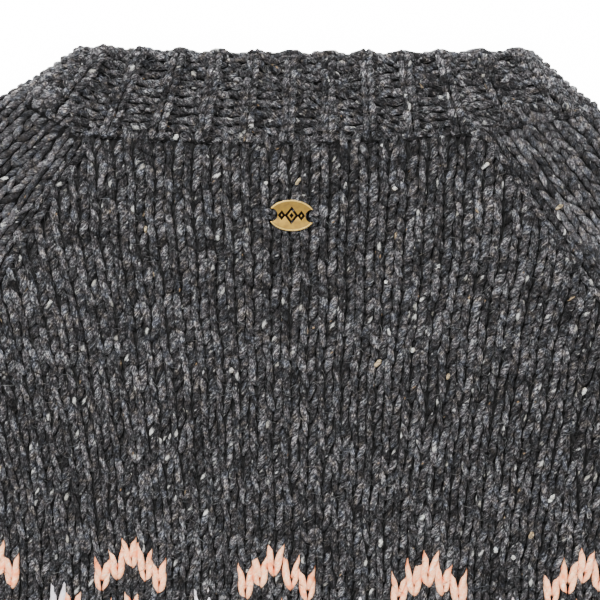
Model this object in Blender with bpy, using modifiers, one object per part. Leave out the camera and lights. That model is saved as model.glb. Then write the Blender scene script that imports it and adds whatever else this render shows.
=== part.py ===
# Chunky wool raglan sweater, laid flat on its front with its back showing.
# Units are metres, +Z is up, +Y points to the neck and +X to the right of the back.
# Two layers of knit lie on each other. Each piece is a wall that is worked out from its sizes.

import math

import bmesh
import bpy

MM = 0.001

# Layers, measured up from the surface that the sweater lies on
KNIT = 5.0 * MM
LAYER_GAP = 1.0 * MM
SEAM_GAP = 0.3 * MM
FOLD_LEVEL = KNIT + LAYER_GAP / 2
UPPER_INSIDE = KNIT + LAYER_GAP
UPPER_OUTSIDE = UPPER_INSIDE + KNIT
FOLD_REACH = 8.0 * MM

# Outline of the body, from the hem up
HEM_HALF_WIDTH = 250 * MM
WELT_HALF_WIDTH = 262 * MM
WELT_HEIGHT = 58 * MM
CHEST_HALF_WIDTH = 280 * MM
BLOUSE_HEIGHT = 95 * MM
UNDERARM = 293 * MM
BODY_SWAY = {"left": 2.6 * MM, "right": -1.9 * MM}

# Neck, where the left and right sides lie a little differently
NECK_CORNERS = {
    "left": {"seam": (-134.0 * MM, 578.0 * MM), "edge": (-100.5 * MM, 601.5 * MM)},
    "right": {"seam": (137.0 * MM, 571.0 * MM), "edge": (106.5 * MM, 600.0 * MM)},
}
RAGLAN_TOPS = {"left": (-102.0 * MM, 560.5 * MM), "right": (91.0 * MM, 562.0 * MM)}
BACK_NECK_SAG = 4.5 * MM
BACK_EDGE_SAG = 2.0 * MM
FRONT_RAGLAN_SHARE = 0.12
FRONT_NECK_LOW = 497 * MM
FRONT_NECK_GAP = 0.9 * MM
NECKBAND_HEIGHT = 42 * MM

# Sleeves
SHOULDER_SLOPE = math.radians(30)
SLEEVE_SLOPE = math.radians(45)
SHOULDER_END_SLOPE = math.radians(53)
SHOULDER_END = (383 * MM, 412 * MM)
SHOULDER_PULL = 110 * MM
UNDERARM_LENGTH = 362 * MM
SLEEVE_END_WIDTH = 104 * MM
CUFF_LENGTH = 60 * MM
CUFF_END_WIDTH = 88 * MM
ARM_BEND = {"left": 5.5 * MM, "right": -4.0 * MM}
SLEEVE_CROWN = 5.5 * MM
CUFF_CROWN = 2.0 * MM

# Ribbing, one knit stitch and two purl
RIB_PITCH = 17.0 * MM
RIB_CREST = 1.2 * MM
RIB_TROUGH = -1.2 * MM
RIB_SECTION = (
    {"phase": 0.0, "rise": RIB_CREST},
    {"phase": 0.24, "rise": RIB_CREST},
    {"phase": 0.44, "rise": RIB_TROUGH},
    {"phase": 0.80, "rise": RIB_TROUGH},
)
NECK_RIBS = 12
NECK_RIB_START = 0.057
NECK_RIB_SHARE = 0.0821
NECK_RIB_SCALLOP = 0.9 * MM

# Soft ridges where the upper layer lifts off the lower one: place, direction and size
RIDGES = (
    {"x": -205, "y": 262, "turn": 34, "length": 95, "width": 15, "height": 7.1},
    {"x": 214, "y": 250, "turn": 150, "length": 84, "width": 17, "height": 6.1},
    {"x": -128, "y": 196, "turn": 22, "length": 120, "width": 22, "height": 4.4},
    {"x": 96, "y": 168, "turn": 161, "length": 135, "width": 24, "height": 5.1},
    {"x": -40, "y": 118, "turn": 8, "length": 110, "width": 20, "height": 4.1},
    {"x": 168, "y": 98, "turn": 172, "length": 90, "width": 18, "height": 4.8},
    {"x": -192, "y": 104, "turn": 12, "length": 80, "width": 17, "height": 4.2},
    {"x": -292, "y": 352, "turn": 108, "length": 78, "width": 15, "height": 7.8},
    {"x": 300, "y": 348, "turn": 66, "length": 70, "width": 16, "height": 7.1},
    {"x": -338, "y": 318, "turn": 122, "length": 62, "width": 14, "height": 5.8},
    {"x": 352, "y": 300, "turn": 52, "length": 66, "width": 15, "height": 6.5},
    {"x": -440, "y": 226, "turn": 96, "length": 52, "width": 14, "height": 6.1},
    {"x": 428, "y": 240, "turn": 88, "length": 55, "width": 13, "height": 5.4},
    {"x": -476, "y": 172, "turn": 124, "length": 44, "width": 13, "height": 4.8},
    {"x": 486, "y": 168, "turn": 60, "length": 46, "width": 12, "height": 5.8},
)

# Brass badge sewn to the back below the neck
BADGE_CENTRE = (-3.9 * MM, 524.0 * MM)
BADGE_WIDTH = 22.0 * MM
BADGE_HEIGHT = 14.7 * MM
BADGE_THICKNESS = 1.2 * MM
BADGE_NOTCH_RADIUS = 3.1 * MM
BADGE_NOTCH_REACH = 9.6 * MM
BADGE_EDGE = 0.25 * MM
BADGE_TURN = math.radians(-2)
BADGE_STEPS = 56

# Mesh fineness
FOLD_STEPS = (0.0, 0.14, 0.5, 1.0)
BODY_COLUMNS = 22
BODY_ROWS = 10
YOKE_ROWS = 11
FRONT_COLUMNS = 12
FRONT_ROWS = 8
CAP_ROWS = 10
ARM_ROWS = 12
SLEEVE_UPPER_COLUMNS = 7
SLEEVE_LOWER_COLUMNS = 3
CUFF_LOWER_COLUMNS = 3
FRONT_BAND_COLUMNS = 16
NECKBAND_ROWS = (0.0, 0.5, 0.94, 1.0)
BAND_EDGE_ROUNDING = 0.9 * MM

COLOURS = {
    "wool": {"colour": (0.062, 0.062, 0.068), "roughness": 0.95, "metallic": 0.0},
    "rib": {"colour": (0.056, 0.056, 0.062), "roughness": 0.95, "metallic": 0.0},
    "brass": {"colour": (0.46, 0.31, 0.11), "roughness": 0.38, "metallic": 1.0},
}


# Small helpers


def mix(a, b, share):
    return a + (b - a) * share


def between(p, q, share):
    return (mix(p[0], q[0], share), mix(p[1], q[1], share))


def smooth(value):
    value = min(max(value, 0.0), 1.0)
    return value * value * (3 - 2 * value)


def bezier(p0, p1, p2, p3, t):
    s = 1 - t
    weights = (s**3, 3 * s * s * t, 3 * s * t * t, t**3)
    return tuple(
        sum(w * p[axis] for w, p in zip(weights, (p0, p1, p2, p3))) for axis in (0, 1)
    )


def steps(count):
    return [number / count for number in range(count + 1)]


def ridge_lift(x, y):
    """Height of the soft ridges of the upper layer over a point of the plan."""
    lift = 0.0
    for ridge in RIDGES:
        turn = math.radians(ridge["turn"])
        dx = x - ridge["x"] * MM
        dy = y - ridge["y"] * MM
        along = (dx * math.cos(turn) + dy * math.sin(turn)) / (ridge["length"] * MM / 2)
        across = (dy * math.cos(turn) - dx * math.sin(turn)) / (ridge["width"] * MM)
        lift += ridge["height"] * MM * math.exp(-(across**2) - along**4)
    return lift


def round_rise(share):
    """Quarter ellipse: 0 at a folded edge, 1 where the cloth lies level."""
    share = min(max(share, 0.0), 1.0)
    return math.sqrt(1 - (1 - share) ** 2)


# Layer heights: each gives the outer and inner point of the wall over one point of the plan


def upper_points(place, inset, rise=0.0, lift=0.0):
    """place maps a distance from the folded edge to the plan, or is None away from any edge."""
    top = UPPER_OUTSIDE + rise + lift
    bottom = UPPER_INSIDE + lift
    reach = FOLD_REACH
    base = FOLD_LEVEL + SEAM_GAP / 2
    inner_inset = max(inset, mix(KNIT, reach, inset / reach))
    outer = place(inset) + (mix(base, top, round_rise(inset / reach)),)
    share = (inner_inset - KNIT) / (reach - KNIT)
    inner = place(inner_inset) + (mix(base, bottom, round_rise(share)),)
    return outer, inner


def lower_points(place, inset):
    reach = FOLD_REACH
    base = FOLD_LEVEL - SEAM_GAP / 2
    inner_inset = max(inset, mix(KNIT, reach, inset / reach))
    outer = place(inset) + (mix(base, 0.0, round_rise(inset / reach)),)
    share = (inner_inset - KNIT) / (reach - KNIT)
    inner = place(inner_inset) + (mix(base, KNIT, round_rise(share)),)
    return outer, inner


def flat_upper(point, rise=0.0, lift=0.0):
    return (
        point + (UPPER_OUTSIDE + rise + lift,),
        point + (UPPER_INSIDE + lift,),
    )


def flat_lower(point):
    return point + (0.0,), point + (KNIT,)


# Turning sections into solids


def material(slot):
    facts = COLOURS[slot]
    made = bpy.data.materials.get(slot) or bpy.data.materials.new(slot)
    made.use_nodes = True
    shader = made.node_tree.nodes["Principled BSDF"]
    shader.inputs["Base Color"].default_value = (*facts["colour"], 1.0)
    shader.inputs["Roughness"].default_value = facts["roughness"]
    shader.inputs["Metallic"].default_value = facts["metallic"]
    return made


def add_object(name, mesh, slot, collection):
    mesh.materials.append(material(slot))
    made = bpy.data.objects.new(name, mesh)
    collection.objects.link(made)
    return made


def wall(name, rows, slot, collection, ring=False):
    """One closed body from rows of (outer, inner) points. In a ring the last column meets the first."""
    shape = bmesh.new()
    outer = [[shape.verts.new(pair[0]) for pair in row] for row in rows]
    inner = [[shape.verts.new(pair[1]) for pair in row] for row in rows]
    columns = len(rows[0])
    last = columns if ring else columns - 1
    for row in range(len(rows) - 1):
        for column in range(last):
            following = (column + 1) % columns
            for side in (outer, inner):
                shape.faces.new(
                    (
                        side[row][column],
                        side[row][following],
                        side[row + 1][following],
                        side[row + 1][column],
                    )
                )
        if not ring:
            for column in (0, columns - 1):
                shape.faces.new(
                    (
                        outer[row][column],
                        outer[row + 1][column],
                        inner[row + 1][column],
                        inner[row][column],
                    )
                )
    for row in (0, len(rows) - 1):
        for column in range(last):
            following = (column + 1) % columns
            shape.faces.new(
                (
                    outer[row][column],
                    outer[row][following],
                    inner[row][following],
                    inner[row][column],
                )
            )
    bmesh.ops.recalc_face_normals(shape, faces=shape.faces)
    bmesh.ops.triangulate(shape, faces=shape.faces)
    mesh = bpy.data.meshes.new(name)
    shape.to_mesh(mesh)
    shape.free()
    mesh.shade_smooth()
    return add_object(name, mesh, slot, collection)


# Plan curves


def side_sign(side):
    return -1 if side == "left" else 1


def body_side(side, y):
    """A point of the body's side fold at that height."""
    if y <= WELT_HEIGHT:
        half = mix(HEM_HALF_WIDTH, WELT_HALF_WIDTH, smooth(y / WELT_HEIGHT))
    else:
        blouse = smooth((y - WELT_HEIGHT) / BLOUSE_HEIGHT)
        share = (y - WELT_HEIGHT) / (UNDERARM - WELT_HEIGHT)
        half = mix(WELT_HALF_WIDTH, CHEST_HALF_WIDTH, blouse)
        half += BODY_SWAY[side] * math.sin(3 * math.pi * share)
    return (side_sign(side) * half, y)


def underarm_point(side):
    return (side_sign(side) * CHEST_HALF_WIDTH, UNDERARM)


def raglan_point(side, share, front=False):
    """A point of the raglan seam, from the underarm at 0 to the neckband at 1."""
    if front:
        share *= 1 - FRONT_RAGLAN_SHARE
    return between(underarm_point(side), RAGLAN_TOPS[side], share)


def back_neck_point(share):
    """The neckband's seam on the back, from the left fold at 0 to the right fold at 1."""
    left, right = NECK_CORNERS["left"]["seam"], NECK_CORNERS["right"]["seam"]
    inner_left, inner_right = RAGLAN_TOPS["left"], RAGLAN_TOPS["right"]
    x = mix(left[0], right[0], share)
    if x < inner_left[0]:
        return between(left, inner_left, (x - left[0]) / (inner_left[0] - left[0]))
    if x > inner_right[0]:
        return between(right, inner_right, (right[0] - x) / (right[0] - inner_right[0]))
    inside = (x - inner_left[0]) / (inner_right[0] - inner_left[0])
    sag = BACK_NECK_SAG * math.sin(math.pi * inside)
    return (x, mix(inner_left[1], inner_right[1], inside) - sag)


def back_neck_between_raglans(share):
    left, right = NECK_CORNERS["left"]["seam"], NECK_CORNERS["right"]["seam"]
    x = mix(RAGLAN_TOPS["left"][0], RAGLAN_TOPS["right"][0], share)
    return back_neck_point((x - left[0]) / (right[0] - left[0]))


def back_edge_point(share):
    """The neckband's free edge on the back."""
    x, y = between(NECK_CORNERS["left"]["edge"], NECK_CORNERS["right"]["edge"], share)
    return (x, y - BACK_EDGE_SAG * math.sin(math.pi * share))


def front_neck_point(share):
    """The neckband's seam on the front, from the left fold at 0 to the right fold at 1."""
    corners = [NECK_CORNERS[side]["seam"] for side in ("left", "right")]
    tops = [raglan_point(side, 1.0, front=True) for side in ("left", "right")]
    sleeve_share = 0.13
    if share < sleeve_share:
        return between(corners[0], tops[0], share / sleeve_share)
    if share > 1 - sleeve_share:
        return between(corners[1], tops[1], (1 - share) / sleeve_share)
    inside = (share - sleeve_share) / (1 - 2 * sleeve_share)
    x, y = between(tops[0], tops[1], inside)
    return (x, y - (y - FRONT_NECK_LOW) * math.sin(math.pi * inside) ** 0.8)


def front_neck_between_raglans(share):
    sleeve_share = 0.13
    return front_neck_point(mix(sleeve_share, 1 - sleeve_share, share))


def front_edge_point(share):
    """The neckband's free edge on the front, one band height in from its seam."""
    before, after = front_neck_point(max(share - 0.02, 0)), front_neck_point(min(share + 0.02, 1))
    length = math.dist(before, after)
    turn = ((before[1] - after[1]) / length, (after[0] - before[0]) / length)
    seam = front_neck_point(share)
    inward = (
        seam[0] + turn[0] * NECKBAND_HEIGHT,
        seam[1] + turn[1] * NECKBAND_HEIGHT,
    )
    nearness = smooth(1 - min(share, 1 - share) / 0.24)
    corner = NECK_CORNERS["left" if share < 0.5 else "right"]["edge"]
    return between(inward, corner, nearness)


def shoulder_curve(side, share):
    """The sleeve's outer fold, from the neck at 0 to the end of the shoulder's curve at 1."""
    sign = side_sign(side)
    start = NECK_CORNERS[side]["seam"]
    end = (sign * SHOULDER_END[0], SHOULDER_END[1])
    first = (
        start[0] + sign * SHOULDER_PULL * math.cos(SHOULDER_SLOPE),
        start[1] - SHOULDER_PULL * math.sin(SHOULDER_SLOPE),
    )
    second = (
        end[0] - sign * SHOULDER_PULL * math.cos(SHOULDER_END_SLOPE),
        end[1] + SHOULDER_PULL * math.sin(SHOULDER_END_SLOPE),
    )
    return bezier(start, first, second, end, share)


def along_arm(side, point, distance):
    sign = side_sign(side)
    return (
        point[0] + sign * distance * math.cos(SLEEVE_SLOPE),
        point[1] - distance * math.sin(SLEEVE_SLOPE),
    )


def across_arm(side, point, distance):
    """A point that far outwards from the underarm edge, square to the arm."""
    sign = side_sign(side)
    return (
        point[0] + sign * distance * math.sin(SLEEVE_SLOPE),
        point[1] + distance * math.cos(SLEEVE_SLOPE),
    )


def arm_edge(side, distance):
    """A point of the sleeve's underarm edge, that far down from the underarm."""
    share = distance / (UNDERARM_LENGTH + CUFF_LENGTH)
    bend = ARM_BEND[side] * math.sin(1.6 * math.pi * share)
    return across_arm(side, along_arm(side, underarm_point(side), distance), bend)


def arm_width(side):
    """Flat width of the sleeve where the shoulder's curve has ended."""
    sign = side_sign(side)
    under = underarm_point(side)
    dx = sign * (sign * SHOULDER_END[0] - under[0])
    dy = SHOULDER_END[1] - under[1]
    return dx * math.sin(SLEEVE_SLOPE) + dy * math.cos(SLEEVE_SLOPE)


def arm_lag(side):
    """How far down the arm the end of the shoulder's curve lies from the underarm."""
    sign = side_sign(side)
    under = underarm_point(side)
    dx = sign * (sign * SHOULDER_END[0] - under[0])
    dy = SHOULDER_END[1] - under[1]
    return dx * math.cos(SLEEVE_SLOPE) - dy * math.sin(SLEEVE_SLOPE)


def sleeve_line(side, distance, front):
    """Both ends of a course of the sleeve: (fold end, seam end). Distance 0 is the underarm, -1 the neck."""
    if distance <= 0:
        fold = shoulder_curve(side, 1 + distance)
        return fold, raglan_point(side, -distance, front)
    seam = arm_edge(side, distance)
    share = distance / UNDERARM_LENGTH
    width = mix(arm_width(side), SLEEVE_END_WIDTH, share)
    fold = across_arm(side, seam, width)
    lag = arm_lag(side) * (1 - smooth(share))
    return along_arm(side, fold, lag), seam


def cuff_line(side, distance):
    """Both ends of a course of the cuff, that far down from the sleeve's last course."""
    seam = arm_edge(side, UNDERARM_LENGTH + distance)
    width = mix(SLEEVE_END_WIDTH, CUFF_END_WIDTH, smooth(distance / CUFF_LENGTH))
    return across_arm(side, seam, width), seam


def place_on(start, end):
    """Maps a distance from start to the plan, on the line to end."""
    length = math.dist(start, end)

    def place(distance):
        return between(start, end, distance / length)

    return place


# The two body panels


def panel_row(left, right, columns, raglan, upper, inset):
    """One section across a panel. On the raglan its edges are cut, and below they are half of a fold."""
    pairs = []
    length = math.dist(left, right)
    from_left, from_right = place_on(left, right), place_on(right, left)
    inner_steps = [
        mix(FOLD_REACH, length - FOLD_REACH, number / columns)
        for number in range(1, columns)
    ]
    edge_steps = [step * FOLD_REACH for step in FOLD_STEPS]
    for distance in edge_steps:
        pairs.append(panel_point(from_left, distance, raglan, upper, inset))
    for distance in inner_steps:
        point = from_left(distance)
        pairs.append(flat_upper(point, lift=ridge_lift(*point)) if upper else flat_lower(point))
    for distance in reversed(edge_steps):
        pairs.append(panel_point(from_right, distance, raglan, upper, inset))
    return pairs


def panel_point(place, distance, raglan, upper, inset):
    if raglan:
        point = place(max(distance, inset))
        return flat_upper(point, lift=ridge_lift(*point)) if upper else flat_lower(point)
    if upper:
        return upper_points(place, distance, lift=ridge_lift(*place(distance)))
    return lower_points(place, distance)


def back_panel(collection):
    rows = []
    for share in steps(BODY_ROWS):
        y = mix(WELT_HEIGHT + SEAM_GAP / 2, UNDERARM - SEAM_GAP, share)
        left, right = body_side("left", y), body_side("right", y)
        rows.append(panel_row(left, right, BODY_COLUMNS, False, True, 0.0))
    for share in steps(YOKE_ROWS):
        height = mix(0.02, 1.0, share)
        left, right = raglan_point("left", height), raglan_point("right", height)
        row = panel_row(left, right, BODY_COLUMNS, True, True, SEAM_GAP / 2)
        rows.append([lower_to_neck(pair, left, right, height) for pair in row])
    return wall("back_panel", rows, "wool", collection)


def lower_to_neck(pair, left, right, height):
    """Bends a section of the yoke towards the curve of the back neck."""
    moved = []
    for point in pair:
        across = (point[0] - left[0]) / (right[0] - left[0])
        level = between(left, right, across)[1]
        neck = back_neck_between_raglans(across)[1]
        top = between(RAGLAN_TOPS["left"], RAGLAN_TOPS["right"], across)[1]
        moved.append(
            (point[0], level + (neck - top - SEAM_GAP / 2) * smooth(height), point[2])
        )
    return tuple(moved)


def front_panel(collection):
    rows = []
    for share in steps(FRONT_ROWS):
        y = mix(WELT_HEIGHT + SEAM_GAP / 2, UNDERARM - SEAM_GAP, share)
        left, right = body_side("left", y), body_side("right", y)
        rows.append(panel_row(left, right, FRONT_COLUMNS, False, False, 0.0))
    for share in steps(FRONT_ROWS):
        height = mix(0.02, 1.0, share)
        left = raglan_point("left", height, front=True)
        right = raglan_point("right", height, front=True)
        row = panel_row(left, right, FRONT_COLUMNS, True, False, SEAM_GAP / 2)
        rows.append([lower_to_front_neck(pair, left, right, height) for pair in row])
    return wall("front_panel", rows, "wool", collection)


def lower_to_front_neck(pair, left, right, height):
    moved = []
    for point in pair:
        across = (point[0] - left[0]) / (right[0] - left[0])
        level = between(left, right, across)[1]
        neck = front_neck_between_raglans(across)[1]
        top = between(
            raglan_point("left", 1.0, front=True),
            raglan_point("right", 1.0, front=True),
            across,
        )[1]
        moved.append((point[0], level + (neck - top - FRONT_NECK_GAP) * height**1.5, point[2]))
    return tuple(moved)


# Sleeves and cuffs, each one wall that turns round the outer fold


def turned_section(upper_line, lower_line, upper_columns, lower_columns, options):
    """A section from the seam on the upper layer, round the outer fold, to the seam below."""
    crown = options.get("crown", 0.0)
    raglan = options.get("raglan", False)
    ribs = options.get("ribs", False)
    fold, seam = upper_line
    width = math.dist(fold, seam)
    from_seam, from_fold = place_on(seam, fold), place_on(fold, seam)
    edge_steps = [step * FOLD_REACH for step in FOLD_STEPS]
    pairs = []

    def lift_at(point, distance):
        return ridge_lift(*point) + crown * math.sin(math.pi * distance / width) ** 0.8

    for distance in edge_steps:
        if raglan:
            point = from_seam(max(distance, SEAM_GAP / 2))
            pairs.append(flat_upper(point, lift=lift_at(point, distance)))
        else:
            lift = lift_at(from_seam(distance), distance)
            pairs.append(upper_points(from_seam, distance, lift=lift))
    for distance, rise in upper_stops(width, upper_columns, ribs):
        point = from_seam(distance)
        pairs.append(flat_upper(point, rise, lift_at(point, distance)))
    for distance in reversed(edge_steps[1:]):
        lift = lift_at(from_fold(distance), distance)
        pairs.append(upper_points(from_fold, distance, lift=lift))
    fold_outer, fold_inner = lower_points(from_fold, 0.0)
    pairs.append((fold[:2] + (FOLD_LEVEL,), fold_inner[:2] + (FOLD_LEVEL,)))
    fold, seam = lower_line
    width = math.dist(fold, seam)
    from_seam, from_fold = place_on(seam, fold), place_on(fold, seam)
    for distance in edge_steps[1:]:
        pairs.append(lower_points(from_fold, distance))
    for number in range(1, lower_columns + 1):
        distance = mix(FOLD_REACH, width - FOLD_REACH, number / (lower_columns + 1))
        pairs.append(flat_lower(from_fold(distance)))
    for distance in reversed(edge_steps):
        if raglan:
            pairs.append(flat_lower(from_seam(max(distance, SEAM_GAP / 2))))
        else:
            pairs.append(lower_points(from_seam, distance))
    return pairs


def upper_stops(width, columns, ribs):
    """Distances from the seam, with their rises, of the points between the two folded edges."""
    if not ribs:
        return [
            (mix(FOLD_REACH, width - FOLD_REACH, number / (columns + 1)), 0.0)
            for number in range(1, columns + 1)
        ]
    stops = []
    room = width - 2 * FOLD_REACH
    for rib in range(columns):
        for stop in RIB_SECTION:
            share = (rib + 0.12 + stop["phase"]) / columns
            stops.append((FOLD_REACH + room * share, stop["rise"]))
    return stops


def sleeve(side, collection):
    rows = []
    for share in steps(CAP_ROWS):
        distance = mix(-1.0, -0.02, share)
        upper, lower = sleeve_line(side, distance, False), sleeve_line(side, distance, True)
        if share == 0.0:
            upper, lower = below_neckband(side, upper), below_neckband(side, lower)
        rows.append(
            turned_section(
                upper,
                lower,
                SLEEVE_UPPER_COLUMNS,
                SLEEVE_LOWER_COLUMNS,
                {"raglan": True},
            )
        )
    for share in steps(ARM_ROWS):
        distance = mix(1.5 * MM, UNDERARM_LENGTH - SEAM_GAP / 2, share)
        line = sleeve_line(side, distance, False)
        crown = SLEEVE_CROWN * smooth(share * 4) + (CUFF_CROWN - SLEEVE_CROWN) * smooth(share)
        rows.append(
            turned_section(
                line, line, SLEEVE_UPPER_COLUMNS, SLEEVE_LOWER_COLUMNS, {"crown": crown}
            )
        )
    return wall(f"sleeve_{side}", rows, "wool", collection)


def below_neckband(side, line):
    """Sets the sleeve's last course a seam's gap below the neckband."""
    fold, seam = line
    following = shoulder_curve(side, 0.02)
    length = math.dist(fold, following)
    shift = tuple(
        (following[axis] - fold[axis]) / length * 1.6 * SEAM_GAP for axis in (0, 1)
    )
    return (
        (fold[0] + shift[0], fold[1] + shift[1]),
        (seam[0] + shift[0], seam[1] + shift[1]),
    )


def cuff(side, collection):
    rows = []
    ribs = round((SLEEVE_END_WIDTH - 2 * FOLD_REACH) / RIB_PITCH)
    for share in (0.0, 0.3, 0.65, 1.0):
        line = cuff_line(side, mix(SEAM_GAP / 2, CUFF_LENGTH, share))
        crown = CUFF_CROWN * (1 - 0.5 * share)
        rows.append(
            turned_section(
                line, line, ribs, CUFF_LOWER_COLUMNS, {"crown": crown, "ribs": True}
            )
        )
    return wall(f"cuff_{side}", rows, "rib", collection)


# Hem welts


def welt_row(y, upper, ribs):
    left, right = body_side("left", y), body_side("right", y)
    if not upper:
        return panel_row(left, right, FRONT_COLUMNS, False, False, 0.0)
    from_left, from_right = place_on(left, right), place_on(right, left)
    edge_steps = [step * FOLD_REACH for step in FOLD_STEPS]
    row = [upper_points(from_left, distance) for distance in edge_steps]
    for distance, rise in upper_stops(math.dist(left, right), ribs, True):
        row.append(flat_upper(from_left(distance), rise))
    row += [upper_points(from_right, distance) for distance in reversed(edge_steps)]
    return row


def hem_welt(name, upper, collection):
    ribs = round(2 * (WELT_HALF_WIDTH - FOLD_REACH) / RIB_PITCH)
    heights = (0.0, 0.4, 0.75, 1.0)
    rows = [
        welt_row(mix(0.0, WELT_HEIGHT - SEAM_GAP / 2, height), upper, ribs)
        for height in heights
    ]
    return wall(name, rows, "rib", collection)


# Neckband


def band_spread(share):
    """Spreads the ribs more at the folds than at the middle of the back."""
    centred = 2 * share - 1
    return 0.5 + 0.5 * (0.86 * centred + 0.14 * centred**3)


def neckband_stops(fold_share):
    """Shares round the back with their rises, between the two folds: a crest and a trough for each rib."""
    stops = []
    for rib in range(NECK_RIBS):
        for stop in RIB_SECTION:
            share = NECK_RIB_START + NECK_RIB_SHARE * (rib - 0.12 + stop["phase"])
            if share < 1 - 1.1 * fold_share:
                stops.append((share, stop["rise"]))
    return stops


def band_point(height, share, upper):
    if upper:
        seam, edge = back_neck_point(band_spread(share)), back_edge_point(share)
        lifted = (seam[0], seam[1] + SEAM_GAP / 2)
        return between(lifted, edge, height)
    seam, edge = front_neck_point(share), front_edge_point(share)
    return between(seam, edge, height)


def neckband_row(height):
    rounding = BAND_EDGE_ROUNDING if height == 1.0 else 0.0
    pairs = []
    left = place_on(band_point(height, 0.0, True), band_point(height, 0.06, True))
    right = place_on(band_point(height, 1.0, True), band_point(height, 0.94, True))
    edge_steps = [step * FOLD_REACH for step in FOLD_STEPS]
    pairs.append(fold_pair(left))
    for distance in edge_steps[1:]:
        pairs.append(rounded(upper_points(left, distance), rounding))
    reach_share = FOLD_REACH / math.dist(
        band_point(height, 0.0, True), band_point(height, 1.0, True)
    )
    for share, rise in neckband_stops(reach_share):
        scallop = NECK_RIB_SCALLOP * (rise / RIB_CREST) * smooth(height * 2 - 1)
        x, y = band_point(height, share, True)
        pairs.append(rounded(flat_upper((x, y + scallop), rise), rounding))
    for distance in reversed(edge_steps[1:]):
        pairs.append(rounded(upper_points(right, distance), rounding))
    pairs.append(fold_pair(right))
    low_right = place_on(band_point(height, 1.0, False), band_point(height, 0.94, False))
    low_left = place_on(band_point(height, 0.0, False), band_point(height, 0.06, False))
    for distance in edge_steps[1:]:
        pairs.append(lower_points(low_right, distance))
    for number in range(FRONT_BAND_COLUMNS + 1):
        share = mix(0.93, 0.07, number / FRONT_BAND_COLUMNS)
        pairs.append(flat_lower(band_point(height, share, False)))
    for distance in reversed(edge_steps[1:]):
        pairs.append(lower_points(low_left, distance))
    return pairs


def fold_pair(place):
    return place(0.0) + (FOLD_LEVEL,), place(KNIT) + (FOLD_LEVEL,)


def rounded(pair, amount):
    outer, inner = pair
    return (outer[0], outer[1], outer[2] - amount), inner


def neckband(collection):
    rows = [neckband_row(height) for height in NECKBAND_ROWS]
    return wall("neckband", rows, "rib", collection, ring=True)


# Badge


def cutter(name, radius, place, collection):
    shape = bmesh.new()
    bmesh.ops.create_cone(
        shape,
        cap_ends=True,
        segments=BADGE_STEPS // 2,
        radius1=radius,
        radius2=radius,
        depth=4 * BADGE_THICKNESS,
    )
    mesh = bpy.data.meshes.new(name)
    shape.to_mesh(mesh)
    shape.free()
    made = bpy.data.objects.new(name, mesh)
    made.location = place
    made.hide_render = True
    made.display_type = "WIRE"
    collection.objects.link(made)
    return made


def badge(collection, cutters):
    shape = bmesh.new()
    bmesh.ops.create_cone(
        shape,
        cap_ends=True,
        segments=BADGE_STEPS,
        radius1=0.5,
        radius2=0.5,
        depth=BADGE_THICKNESS,
    )
    bmesh.ops.scale(shape, vec=(BADGE_WIDTH, BADGE_HEIGHT, 1.0), verts=shape.verts)
    mesh = bpy.data.meshes.new("badge")
    shape.to_mesh(mesh)
    shape.free()
    made = add_object("badge", mesh, "brass", collection)
    level = UPPER_OUTSIDE + SEAM_GAP + BADGE_THICKNESS / 2
    made.location = (*BADGE_CENTRE, level)
    made.rotation_euler = (0.0, 0.0, BADGE_TURN)
    for name, sign in (("badge_notch_left", -1), ("badge_notch_right", 1)):
        place = (
            BADGE_CENTRE[0] + sign * BADGE_NOTCH_REACH * math.cos(BADGE_TURN),
            BADGE_CENTRE[1] + sign * BADGE_NOTCH_REACH * math.sin(BADGE_TURN),
            level,
        )
        notch = cutter(name, BADGE_NOTCH_RADIUS, place, cutters)
        cut = made.modifiers.new(name, "BOOLEAN")
        cut.operation = "DIFFERENCE"
        cut.object = notch
    edge = made.modifiers.new("edge", "BEVEL")
    edge.width = BADGE_EDGE
    edge.segments = 2
    edge.limit_method = "ANGLE"
    edge.angle_limit = math.radians(50)
    return made


# The whole sweater


def clear_scene():
    for found in list(bpy.data.objects):
        bpy.data.objects.remove(found)


def centre_on_origin(pieces, helpers):
    """Puts the origin under the middle of the whole sweater's box."""
    corners = [
        piece.matrix_world @ vertex.co
        for piece in pieces
        for vertex in piece.data.vertices
    ]
    middle = [
        (min(corner[axis] for corner in corners) + max(corner[axis] for corner in corners)) / 2
        for axis in (0, 1)
    ]
    for piece in pieces + helpers:
        piece.location.x -= middle[0]
        piece.location.y -= middle[1]
    return middle


def main():
    clear_scene()
    scene = bpy.context.scene
    garment = bpy.data.collections.new("sweater")
    cutters = bpy.data.collections.new("cutters")
    scene.collection.children.link(garment)
    scene.collection.children.link(cutters)
    pieces = [
        back_panel(garment),
        front_panel(garment),
        hem_welt("hem_rib_back", True, garment),
        hem_welt("hem_rib_front", False, garment),
        neckband(garment),
        badge(garment, cutters),
    ]
    for side in ("left", "right"):
        pieces.append(sleeve(side, garment))
        pieces.append(cuff(side, garment))
    bpy.context.view_layer.update()
    middle = centre_on_origin(pieces, list(cutters.objects))
    print("middle of the plan, in mm:", [round(value / MM, 2) for value in middle])


main()
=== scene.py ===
# Chunky tweed raglan sweater, laid flat on its front and seen from straight above
import math

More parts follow.
